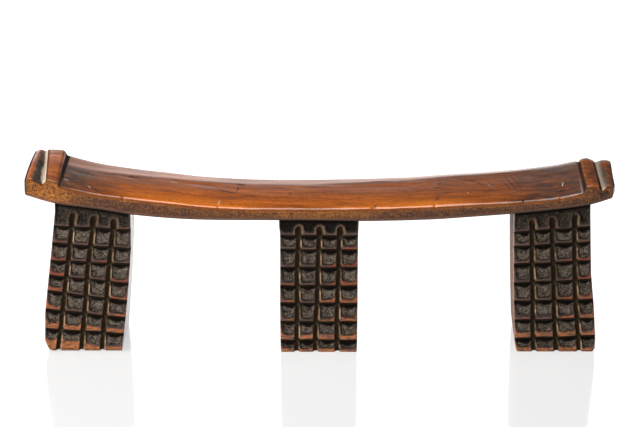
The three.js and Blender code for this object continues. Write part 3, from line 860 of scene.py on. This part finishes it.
def burnt_field(leg, at):
    """How far a point lies inside the hollow that was burnt into its boss, negative outside. The
    hollow has round lower corners: r - hypot(max(r - a, 0), max(r - b, 0)), with a and b the
    distances from its sides and from the plain band along its bottom."""
    r = HOLLOW_CORNER
    band = np.interp(at.row, range(ROWS_OF_BOSSES), BAND_BY_ROW) + 0.5 * at.luck[..., 3]
    band = band + 1.3 * at.strength * (at.row < LOW_ROWS)
    band = band + leg["low_band"] * at.last * (1 - 0.6 * ease(at.place, 0.3, 0.7))
    left_rim = np.where(at.outer_left, 1.0 + 1.8 * at.down, SLOT_HALF - 0.9 + 1.2 * at.down)
    right_rim = np.where(at.outer_right, 0.8 + 1.2 * at.down, SLOT_HALF - 0.7 + 1.2 * at.down)
    across = np.minimum(at.left - left_rim, at.right - right_rim)
    edges = np.where(at.outer_left, at.left - 0.8, np.where(at.outer_right, at.right - 0.8, 99))
    across = np.where(at.first, np.minimum(at.gap - 0.9, edges), across) + 0.4 * at.wobble
    upwards = at.above_lip - band + 0.5 * at.wobble + 0.35 * at.luck[..., 2]
    return r - np.hypot(np.maximum(r - across, 0), np.maximum(r - upwards, 0))


def boss_depth(sizes, at):
    """Depth of a boss from its top down: the floor of the level cut, its short lower wall, a face
    that slopes out like a shingle to the lip, and the wall back into the next cut. The burnt hollow
    goes deeper, with a raised, lumpy middle."""
    cut, wall, slope = (size / MM for size in (sizes.cut_depth, sizes.upper_wall, sizes.slope_depth))
    start = np.where(at.first, 0.4, slope * (0.55 + 0.45 * at.dip)) * (1 + 0.12 * at.luck[..., 0])
    shingle = start * (1 - at.down) ** 1.2
    lower_wall = np.where(at.first, 0, cut - at.drop * (1.25 - 0.35 * at.dip))
    upper_wall = np.where(at.last, 0, cut * (1 - at.rise / wall))
    level = np.maximum(np.maximum(lower_wall, upper_wall), 0)
    depth = blunt_max(level, shingle, np.where(at.row >= LOW_ROWS, 0.9, 0.7))
    pillow = 0.45 * ease(at.inside, 1.4, 3.4) * ~at.first
    scoop = sizes.scoop_depth / MM * (1 + 0.2 * at.luck[..., 4])
    burnt = at.hollow * (scoop - pillow - sizes.char_relief / MM * at.lumps)
    return depth + burnt * ease(at.drop, -0.2, 1.2)


def boss_masks(leg, at):
    """Char in the hollow; black in its crevice; painted shadow under the cut above, in the level cuts
    and, on the top row, under the bar; wood rubbed bright along the lip, down the leg's outer edges
    and at the ground; a painted highlight on the lip and round the heads of the cuts; dust in the
    cuts, with painted light on their right walls and a painted highlight on the lumps of the crust."""
    first, last, luck, down = at.first, at.last, at.luck, at.down
    # Painted shade: black in the level cut under each lip.
    ledge = ease(at.above_lip, 0.1, -0.7) * ~last
    crevice = ease(at.inside, 0.0, 0.4) * ease(at.inside + 0.5 * at.wobble, 1.5, 0.6)
    crevice = crevice * (0.3 + 0.7 * ease(down, 0.4, 0.8)) * (0.7 + 0.5 * at.lumps)
    # Painted shadow of the lip above on the boss's top, reaching lowest in its middle.
    roof_reach = 1.2 + 2.2 * at.dip + 0.8 * luck[..., 1] + 0.6 * at.wobble
    roof = ease(at.drop, roof_reach + 0.5, roof_reach - 0.7) * ~first
    # On the top row: painted shadow under the bar, which fades lower down by the leg's share of lit
    # crust.
    top_row = at.hollow * (1 - 0.9 * leg["top_row_lit"] * ease(at.drop, 1.5, 4.5))
    black = np.maximum(np.where(first, top_row, np.maximum(crevice, roof)), ledge)

    cover = 0.3 + 4.2 * at.strength + 0.7 * at.ragged
    low_reach = max(leg["low_band"], 0) * at.low_favour
    cover = cover + low_reach * np.where(last, 1, 0.25 * (at.row == ROWS_OF_BOSSES - 2))
    rubbed = ease(at.above_lip, cover + 0.4, cover - 0.4) * ease(at.strength, 0.06, 0.3)
    flank = np.where(at.outer_left, at.left, np.where(at.outer_right, at.right, 99))
    cover = 3.2 * at.strength * ease(down, 0.2, 0.9) + 0.6 * at.ragged
    rubbed = np.maximum(rubbed, ease(flank, cover + 0.4, cover - 0.4) * (at.strength > 0.25))
    rubbed = rubbed * (1 - 0.9 * at.hollow)
    rubbed = np.maximum(rubbed, ease(at.z, 2.4, 0.8) * at.low_favour)
    # Painted highlight: a pale line along the lower edge of each lip.
    edge = ease(np.abs(at.above_lip - 0.15), 0.8, 0.1) * ~last * (0.65 + 0.35 * luck[..., 7])

    # Painted light: the right walls of the upright cuts, which face the left softbox, are painted
    # pale.
    walls = at.in_cut * ease(at.gap, -SLOT_WALL - 0.1, -SLOT_WALL + 0.5) * at.right_hand
    walls = walls * ease(at.drop, 1.8, 4.5) * ease(at.above_lip, -0.2, 1.6)
    walls = walls * np.clip(0.62 + 0.5 * luck[..., 7] + 0.3 * at.wobble, 0, 1)
    walls = walls * (0.35 + 0.65 * ease(at.along, 6, 13))
    walls = walls * ease(at.wobble + 0.6 * luck[..., 2], -1.1, 0.1)
    # Painted highlight on the lumps of the crust; on the top row only as much as its lit share.
    lit = np.clip(0.5 + 0.4 * at.lumps, 0, 1) * ease(at.inside, 0.2, 1.1)
    lit = lit * np.where(first, leg["top_row_lit"], 1)
    off_cut = 1 - at.in_cut
    return {
        "char": ease(at.inside, -0.5, 0.3) * off_cut,
        "worn": rubbed * off_cut * (1 - ledge),
        "dust": np.maximum(at.in_cut, 0.6 * ledge),
        "soot_and_shade": black * off_cut,
        "edge": np.maximum(edge, at.rim) * off_cut,
        "pale": np.maximum(walls, lit * off_cut),
    }


# Materials
def put(tree, kind, inputs=(), out=0, **settings):
    """Adds a node, sets its settings, sets or links its inputs, given in order or by name, and gives
    back one of its outputs."""
    node = tree.nodes.new("ShaderNode" + kind)
    for name, value in settings.items():
        setattr(node, name, value)
    for key, value in inputs.items() if isinstance(inputs, dict) else enumerate(inputs):
        if isinstance(value, bpy.types.NodeSocket):
            tree.links.new(value, node.inputs[key])
        else:
            node.inputs[key].default_value = value
    return node.outputs[out] if node.outputs else None


def blank_material(name):
    """An empty material, and the tree to build it in."""
    material = bpy.data.materials.new(name)
    material.use_nodes = True
    material.node_tree.nodes.clear()
    return material, material.node_tree


def on_the_wood(tree):
    """Where a point lies on the piece, and its masks by name."""
    masks = {name: put(tree, "Attribute", out=2, attribute_name=name) for name in MASKS}
    return put(tree, "TexCoord", out=3), masks


def figure(tree, place, spacing, detail=2.0, distortion=0.0, roughness=0.5):
    """Figure of the wood: a noise whose features lie so many millimetres apart along X, Y and Z."""
    at = put(tree, "Mapping", {"Vector": place, "Scale": [1 / (MM * apart) for apart in spacing]})
    wave = {"Scale": 1.0, "Detail": detail, "Distortion": distortion, "Roughness": roughness}
    return put(tree, "TexNoise", {"Vector": at, **wave})


def paint(tree, ground, *coats):
    """Lays coats over a ground colour, one after the other. A coat is how much of it covers, and its
    colour: one of the panel's, or one worked out by nodes."""
    sockets = bpy.types.NodeSocket
    for share, coat in coats:
        under, over = (c if isinstance(c, sockets) else (*c, 1) for c in (ground, coat))
        ground = put(
            tree, "Mix", {0: share, 6: under, 7: over}, out=2, data_type="RGBA", clamp_factor=True
        )
    return ground


def finish_surface(tree, base, rough, gloss, height, relief):
    """The wood's own shader: colour, roughness and gloss vary, and the bump is relief metres high."""
    normal = put(tree, "Bump", {"Height": height, "Distance": relief, "Strength": 1.0})
    shader = put(
        tree, "BsdfPrincipled",
        {"Base Color": base, "Roughness": rough, "Normal": normal, "Specular IOR Level": gloss,
         "IOR": 1.5},
    )
    put(tree, "OutputMaterial", {"Surface": shader})


# Marks of long use on the seat, as (x, y, half length, half width, turn in degrees, strength).
DARK_MARKS = [
    (-161, 10, 7, 2.8, -4, 0.9), (-157, 11, 18, 5.0, -1, 0.5), (-127, 13, 3.6, 1.6, 5, 0.9),
    (-72, 4, 7, 0.8, 82, 0.9), (-70, 16, 5, 2.8, -14, 0.7), (-80, -6, 12, 1.9, -27, 0.75),
    (-62, -13, 9, 1.8, -9, 0.65), (-27, -7, 1.2, 3, 0, 0.8), (-5, 11, 14, 1.6, -3, 0.65),
    (52, 24, 12, 1.5, -6, 0.8), (45, -40, 6, 0.9, 75, 0.7), (-5, -13, 5, 1.9, -35, 0.45),
    (98, -2, 3.6, 2.8, 23, 0.7), (101, 8, 4.5, 0.8, 78, 0.8), (104, -2, 6, 1.0, -55, 0.6),
    (98, -28, 7, 0.8, 73, 0.75), (128, 12, 5, 2.8, -26, 0.65), (135, 4, 4.4, 1.1, -55, 0.8),
    (144, -1, 9, 0.9, -65, 0.65), (145, -12, 5.4, 1.1, 53, 0.55), (158, -5, 12, 0.9, -72, 0.7),
    (162, -3, 18, 0.8, -76, 0.75), (167, -1, 17, 0.7, -78, 0.65), (-191, -37, 5.6, 1.3, -47, 0.9),
    (205, -23, 10, 2.0, 4, 0.7), (206, -32, 8, 1.7, -2, 0.5), (-33, 6, 14, 1.6, -14, 0.45),
    (24, -9, 17, 1.5, -7, 0.35), (-181, -22, 9, 2.0, -21, 0.45),
]
# Some of the pale marks are painted highlights on small dents.
PALE_MARKS = [
    (-127, 9, 3.4, 1.4, 7, 0.75), (-87, -33, 4.2, 0.9, 81, 0.55), (124, -19, 0.9, 1.6, -9, 0.6),
    (144, -4, 8, 0.5, -66, 0.3), (205, -16, 4.5, 0.7, 84, 0.8), (-217, -28, 2.4, 1.1, -42, 0.7),
    (-197, -32, 3.2, 0.9, -61, 0.65),
]
# How far the outline of a mark wavers, in metres along X, Y and Z, and how often, in millimetres.
MARK_WAVER = (0.003, 0.005, 0)
WAVER_SPACING = 3.33
# Spacing of the specks on the long faces, in millimetres.
SPECK_SPACING = 0.741


def marks(tree, place, patches):
    """How far each point lies in one of the patches: a cone over each ellipse, cut off flat."""
    total = 0.0
    for x, y, long, wide, turn, strength in patches:
        inside = put(
            tree, "Mapping",
            {"Vector": place, "Location": (x * MM, y * MM, 0), "Scale": (long * MM, wide * MM, 1),
             "Rotation": (0, 0, math.radians(turn))},
            vector_type="TEXTURE",
        )
        away = put(tree, "VectorMath", (inside,), out=1, operation="LENGTH")
        share = put(tree, "MapRange", (away, 1.3, 0.6, 0.0, strength))
        total = put(tree, "Math", (share, total), operation="MAXIMUM")
    return total


def polished_seat(colours):
    """Dense hardwood, scraped smooth and polished by hand grease: warm lengthwise figure under a
    soft gloss, duller where it is dirty, sooty or scratched, with a painted highlight on the notch
    walls that face the light. Broad bands are 10 mm wide, streaks about 2 mm, pores 1 mm, as coarse as
    it takes for them to show."""
    material, tree = blank_material("hardwood_scraped_and_hand_polished")
    place, mask = on_the_wood(tree)
    slant = put(tree, "Mapping", {"Vector": place, "Rotation": (0, 0, 0.06)})
    broad = figure(tree, slant, (77, 10, 16.7), 4.0, 0.8)
    fine = figure(tree, slant, (23.8, 1.92, 4.55), 4.0, 0.5)
    streak = put(tree, "Math", (fine, 0.7, broad), operation="MULTIPLY_ADD")
    tone = put(tree, "MapRange", (streak, 0.68, 1.04, 1.0, 0.0))
    pore = put(tree, "MapRange", (figure(tree, slant, (4.17, 1, 2)), 0.54, 0.72, 0.0, 0.6))
    cloud = figure(tree, slant, (11.1, 5, 5), 4.0)
    patch = put(tree, "MapRange", (cloud, 0.35, 0.6, 0.68, 1.15))
    dirt = put(tree, "Math", (mask["dirt"], patch), operation="MULTIPLY", use_clamp=True)
    waver = put(tree, "TexNoise", {"Vector": place, "Scale": 1 / (MM * WAVER_SPACING)}, out=1)
    shaken = put(tree, "VectorMath", (waver, MARK_WAVER, place), operation="MULTIPLY_ADD")
    middle = tuple(-reach / 2 for reach in MARK_WAVER)
    shaken = put(tree, "VectorMath", (shaken, middle), operation="ADD")
    bruised = marks(tree, shaken, DARK_MARKS)
    scratched = put(tree, "MapRange", (fine, 0.42, 0.62, 0.0, 0.55))
    base = paint(
        tree, colours.seat, (tone, colours.seat_dark), (mask["worn"], colours.seat_light),
        (pore, colours.side_dark), (dirt, colours.grime), (bruised, colours.bruise),
        (marks(tree, shaken, PALE_MARKS), colours.ash_and_highlight),
        (mask["soot_and_shade"], paint(tree, colours.char, (scratched, colours.char_grain))),
        # Pale on the ridged ends is a painted highlight on the notch walls.
        (mask["pale"], colours.ash_and_highlight), (mask["black_mark"], colours.soot_and_shade),
    )
    matt = put(tree, "Math", (mask["soot_and_shade"], mask["pale"]), operation="MAXIMUM")
    matt = put(tree, "Math", (mask["black_mark"], 1.4, matt), operation="MULTIPLY_ADD")
    matt = put(tree, "Math", (mask["dust"], matt), operation="MAXIMUM")
    matt = put(tree, "Math", (dirt, 0.15, matt), operation="MULTIPLY_ADD")
    matt = put(tree, "Math", (bruised, 0.6, matt), operation="MULTIPLY_ADD")
    rough = put(tree, "MapRange", (matt, 0.0, 1.0, 0.2, 0.7))
    gloss = put(tree, "MapRange", (matt, 0.0, 1.0, 0.5, 0.08))
    finish_surface(tree, base, rough, gloss, streak, 0.00006)
    return material


def handled_side(colours):
    """The same wood, oiled and browned on its long faces: golden flecks and dense dark specks, which
    crowd together and are about 1 mm here so that they show, over streaks along the grain, and a few
    dark strokes of the knife across it; a pinkish painted reflection of the floor along the lower
    edges, and painted shade above the legs and on the tips. The plain sides of the legs are glossier
    where planed."""
    material, tree = blank_material("hardwood_oiled_and_browned")
    place, mask = on_the_wood(tree)
    tone = put(tree, "MapRange", (figure(tree, place, (41.7, 5, 2.63), 4.0), 0.36, 0.64))
    specks = put(tree, "TexVoronoi", {"Vector": place, "Scale": 1 / (MM * SPECK_SPACING)}, out=1)
    cluster = figure(tree, place, (6.25, 6.25, 6.25))
    crowded = put(tree, "Math", (cluster, 0.5, specks), operation="MULTIPLY_ADD")
    clean = put(tree, "Math", (mask["dirt"], -0.5, 1.0), operation="MULTIPLY_ADD")
    glint = put(tree, "MapRange", (crowded, 0.66, 0.5, 0.0, 0.7))
    speck = put(tree, "MapRange", (crowded, 0.77, 0.9, 0.0, 0.85))
    glint, speck = (put(tree, "Math", (dot, clean), operation="MULTIPLY") for dot in (glint, speck))
    stroke = put(tree, "MapRange", (figure(tree, place, (3.03, 3.03, 16.7)), 0.64, 0.74, 0.0, 0.5))
    # On the bar's faces the worn mask is the pinkish painted reflection of the floor along the lower
    # edge.
    floor_reflection = put(tree, "Math", (mask["worn"], 0.6), operation="MULTIPLY")
    base = paint(
        tree, colours.side, (tone, colours.gold), (mask["dirt"], colours.grime),
        (glint, colours.gold), (speck, colours.side_dark), (stroke, colours.side_dark),
        (mask["edge"], colours.line), (floor_reflection, colours.lip), (mask["soot_and_shade"], colours.char),
        (mask["black_mark"], colours.soot_and_shade),
    )
    rough = put(tree, "MapRange", (specks, 0.3, 0.7, 0.3, 0.5))
    rough = put(tree, "Math", (mask["dust"], -0.2, rough), operation="MULTIPLY_ADD")
    gloss = put(tree, "Math", (mask["dust"], 0.3, 0.2), operation="MULTIPLY_ADD")
    finish_surface(tree, base, rough, gloss, specks, 0.00006)
    return material


def charred_carving(colours):
    """The carved leg faces: a matt grey crust where the wood was burnt, black in its crevices and
    spotted with black, smooth smoked wood around it, rubbed lips broken by dark pores and olive dust
    in the cuts; painted shadow under the lips and the bar, a painted highlight along the lips and on
    the crust's lumps, and painted light on the right walls of the cuts. Crust grains are drawn about
    1 mm wide, its spots 2 mm."""
    material, tree = blank_material("hardwood_carved_and_charred")
    place, mask = on_the_wood(tree)
    grain = figure(tree, place, (0.952, 0.8, 0.625), 6.0, 0.6, 0.65)
    smoked = put(tree, "MapRange", (figure(tree, place, (3.85, 3.85, 3.85), 3.0), 0.35, 0.65))
    height_up = put(tree, "SeparateXYZ", (place,), out=2)
    golden = put(tree, "MapRange", (height_up, 0.07, 0.02))
    fibre = figure(tree, place, (3.85, 2, 0.769), 3.0)
    patchy = put(tree, "MapRange", (fibre, 0.4, 0.56, 0.1, 1.0))
    worn = put(tree, "Math", (mask["worn"], patchy), operation="MULTIPLY")
    grains = put(tree, "MapRange", (grain, 0.38, 0.64, -0.7, 0.6))
    # The pale mask lightens the grains: a painted highlight on the crust's lumps.
    grains = put(tree, "Math", (mask["pale"], grains), operation="ADD", use_clamp=True)
    spot = put(tree, "MapRange", (figure(tree, place, (1.92, 1.92, 1.92)), 0.56, 0.68, 0.0, 0.85))
    crust = paint(tree, colours.char, (grains, colours.char_grain), (spot, colours.soot_and_shade))
    floor_tone = paint(tree, colours.soot_and_shade, (smoked, colours.dust), (0.6, colours.dust))
    # Over the smoked wood: the lip colour as a painted highlight, the black coat as char and painted
    # shadow, and the pale walls of the cuts as painted light.
    base = paint(
        tree, colours.smoked, (smoked, colours.smoked_dark), (mask["edge"], colours.lip),
        (worn, paint(tree, colours.rubbed, (golden, colours.worn))), (mask["char"], crust),
        (mask["soot_and_shade"], colours.soot_and_shade),
        (mask["dust"], paint(tree, floor_tone, (mask["pale"], colours.lit_cut_wall))),
    )
    matt = put(tree, "Math", (mask["char"], mask["dust"]), operation="MAXIMUM")
    matt = put(tree, "Math", (mask["soot_and_shade"], matt), operation="MAXIMUM")
    rough = put(tree, "MapRange", (matt, 0.0, 1.0, 0.28, 0.8))
    gloss = put(tree, "MapRange", (matt, 0.0, 1.0, 0.26, 0.03))
    crusty = put(tree, "Math", (grain, mask["char"]), operation="MULTIPLY")
    finish_surface(tree, base, rough, gloss, crusty, 0.0006)
    return material


# Operators
SHARP_ANGLE = math.radians(58)
# The joined piece has more faces than the bar or a leg alone.
FEWEST_FACES = 50000


class HEADREST_OT_carve(bpy.types.Operator):
    """Carve the headrest: bar and legs, joined into one piece of wood"""

    bl_idname = "headrest.carve"
    bl_label = "Carve the headrest"

    def execute(self, context):
        sizes, colours = context.scene.headrest_sizes, context.scene.headrest_colours
        materials = [polished_seat(colours), handled_side(colours), charred_carving(colours)]
        grid, kinds, masks = bar_surface(sizes)
        bar = shell("bar", grid, kinds, masks, (TOP, TOP))
        legs = []
        for index in range(len(LEGS)):
            grid, kinds, masks = leg_surface(index, sizes)
            legs.append(shell(f"leg_{index}", grid, kinds, masks, (SIDE, SIDE)))
        for blank in [bar, *legs]:
            for material in materials:
                blank.data.materials.append(material)
            context.scene.collection.objects.link(blank)
        for leg in legs:
            joint = bar.modifiers.new("join", "BOOLEAN")
            joint.operation, joint.solver, joint.object = "UNION", "MANIFOLD", leg
        context.view_layer.update()
        whole = bar.evaluated_get(context.evaluated_depsgraph_get())
        mesh = bpy.data.meshes.new_from_object(whole)
        mesh.name = "headrest_carving"
        for blank in [bar, *legs]:
            bpy.data.meshes.remove(blank.data)
        settle_masks(mesh)
        mesh.shade_smooth()
        mesh.set_sharp_from_angle(angle=SHARP_ANGLE)
        piece = bpy.data.objects.new("headrest_carving", mesh)
        context.scene.collection.objects.link(piece)
        if len(mesh.polygons) < FEWEST_FACES:
            raise RuntimeError("the bar and the legs did not join")
        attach(piece, "root")
        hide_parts(SOLID)
        return {"FINISHED"}


def settle_masks(mesh):
    """Gives the points made by the joining the mean mask of their neighbours, in a few passes."""
    count = len(mesh.vertices)
    made = np.empty(count, np.float32)
    mesh.attributes["made"].data.foreach_get("value", made)
    ends = np.empty(len(mesh.edges) * 2, np.int32)
    mesh.edges.foreach_get("vertices", ends)
    a, b = ends.reshape(-1, 2).T
    for name in MASKS:
        values = np.empty(count, np.float32)
        mesh.attributes[name].data.foreach_get("value", values)
        known = made.astype(float)
        for _ in range(4):
            total, weight = np.zeros(count), np.zeros(count)
            np.add.at(total, a, values[b] * known[b])
            np.add.at(total, b, values[a] * known[a])
            np.add.at(weight, a, known[b])
            np.add.at(weight, b, known[a])
            fill = (known < 0.5) & (weight > 0)
            values[fill] = total[fill] / weight[fill]
            known[fill] = 1
        mesh.attributes[name].data.foreach_set("value", values.astype(np.float32))
    mesh.attributes.remove(mesh.attributes["made"])


# The camera looks down on a point of the piece; it and the studio are in metres.
VIEW_ELEVATION = math.radians(17)
VIEW_DISTANCE = 3.1
VIEW_TARGET = Vector((-0.00165, 0, 0.1115))
LENS_MM, SENSOR_MM = 203.2, 36
FLOOR_REACH = 9.0
FLOOR_GLOW = 0.594
# Softboxes as (name, place, width, depth, watts).
SOFTBOXES = [
    ("overhead_softbox", (-0.3, -0.35, 1.5), 1.2, 1.0, 30),
    ("left_softbox", (-1.25, -0.75, 0.62), 0.6, 0.6, 46),
]
# Wide boxes on all four sides, which whiten the floor alone.
WALL_DISTANCE, WALL_HEIGHT, WALL_WIDTH, WALL_DEPTH, WALL_WATTS = 4, 1.0, 8, 2, 135


class HEADREST_OT_stage(bpy.types.Operator):
    """Set the pale floor, the softboxes and the camera"""

    bl_idname = "headrest.stage"
    bl_label = "Set the stage"

    def execute(self, context):
        scene = context.scene
        floor = acrylic_floor(scene)
        scene.world = studio_air()
        for name, place, *kind in SOFTBOXES:
            softbox(scene, name, place, *kind)
        floor_only = bpy.data.collections.new("floor_only")
        floor_only.objects.link(floor)
        for number in range(4):
            turn = math.radians(90 * number)
            place = (WALL_DISTANCE * math.sin(turn), WALL_DISTANCE * math.cos(turn), WALL_HEIGHT)
            wall = softbox(
                scene, f"wall_{number}", place, WALL_WIDTH, WALL_DEPTH, WALL_WATTS,
                (0, 0, WALL_HEIGHT),
            )
            wall.visible_camera = wall.visible_diffuse = False
            wall.light_linking.receiver_collection = floor_only
        camera = bpy.data.cameras.new("camera")
        camera.lens, camera.sensor_width = LENS_MM, SENSOR_MM
        camera.clip_end = 40
        back = Vector((0, -math.cos(VIEW_ELEVATION), math.sin(VIEW_ELEVATION)))
        scene.camera = set_up(scene, "camera", camera, VIEW_TARGET + back * VIEW_DISTANCE, back)
        scene.view_settings.view_transform = "Standard"
        return {"FINISHED"}


def set_up(scene, name, data, place, back):
    """A lamp or camera at a place in the scene, with its back turned to the given direction."""
    thing = bpy.data.objects.new(name, data)
    turn = back.to_track_quat("Z", "Y").to_matrix().to_4x4()
    thing.matrix_world = Matrix.Translation(place) @ turn
    scene.collection.objects.link(thing)
    return thing


def softbox(scene, name, place, width, depth, watts, aim=(0, 0, 0.08)):
    """A rectangular softbox that faces a point, the middle of the headrest unless told."""
    light = bpy.data.lights.new(name, "AREA")
    light.shape, light.size, light.size_y, light.energy = "RECTANGLE", width, depth, watts
    return set_up(scene, name, light, Vector(place), Vector(place) - Vector(aim))


def acrylic_floor(scene):
    """White acrylic lit from below: an even pale glow, glossy enough to mirror the piece faintly."""
    mesh = bpy.data.meshes.new("floor")
    r = FLOOR_REACH
    mesh.from_pydata([(-r, -r, 0), (r, -r, 0), (r, r, 0), (-r, r, 0)], [], [(0, 1, 2, 3)])
    floor = bpy.data.objects.new("floor", mesh)
    scene.collection.objects.link(floor)
    material, tree = blank_material("white_acrylic_lit_from_below")
    shader = put(
        tree, "BsdfPrincipled",
        {"Base Color": (0.12, 0.12, 0.12, 1), "Roughness": 0.1, "IOR": 1.45,
         "Emission Color": (1, 1, 1, 1), "Emission Strength": FLOOR_GLOW},
    )
    put(tree, "OutputMaterial", {"Surface": shader})
    mesh.materials.append(material)
    return floor


def studio_air():
    """The white cove round the studio: bright up to some 10 degrees above level, hazy up to 25, and
    almost dark above."""
    world = bpy.data.worlds.new("studio")
    world.use_nodes = True
    tree = world.node_tree
    tree.nodes.clear()
    up = put(tree, "SeparateXYZ", (put(tree, "TexCoord", out=0),), out=2)
    cove = put(tree, "MapRange", (up, 0.18, 0.25, 0.93, 0.0))
    haze = put(tree, "MapRange", (up, 0.22, 0.42, 0.2, 0.02))
    glow = put(tree, "Math", (cove, haze), operation="ADD")
    sky = put(tree, "Background", {"Color": (1, 1, 1, 1), "Strength": glow})
    put(tree, "OutputWorld", {"Surface": sky})
    return world


class HEADREST_PT_panel(bpy.types.Panel):
    """Sizes, colours and the operators of the headrest"""

    bl_idname = "HEADREST_PT_panel"
    bl_label = "Carved Headrest"
    bl_space_type = "VIEW_3D"
    bl_region_type = "UI"
    bl_category = "Headrest"

    def draw(self, context):
        for group in (context.scene.headrest_sizes, context.scene.headrest_colours):
            box = self.layout.box()
            for name in group.__annotations__:
                box.prop(group, name)
        self.layout.operator(HEADREST_OT_carve.bl_idname)
        self.layout.operator(HEADREST_OT_stage.bl_idname)


CLASSES = (HeadrestSizes, HeadrestColours, HEADREST_OT_carve, HEADREST_OT_stage, HEADREST_PT_panel)


def register():
    for cls in CLASSES:
        bpy.utils.register_class(cls)
    bpy.types.Scene.headrest_sizes = PointerProperty(type=HeadrestSizes)
    bpy.types.Scene.headrest_colours = PointerProperty(type=HeadrestColours)


def unregister():
    del bpy.types.Scene.headrest_colours
    del bpy.types.Scene.headrest_sizes
    for cls in reversed(CLASSES):
        bpy.utils.unregister_class(cls)


def main():
    register()
    bpy.ops.headrest.carve()
    bpy.ops.headrest.stage()


if __name__ == "__main__":
    main()
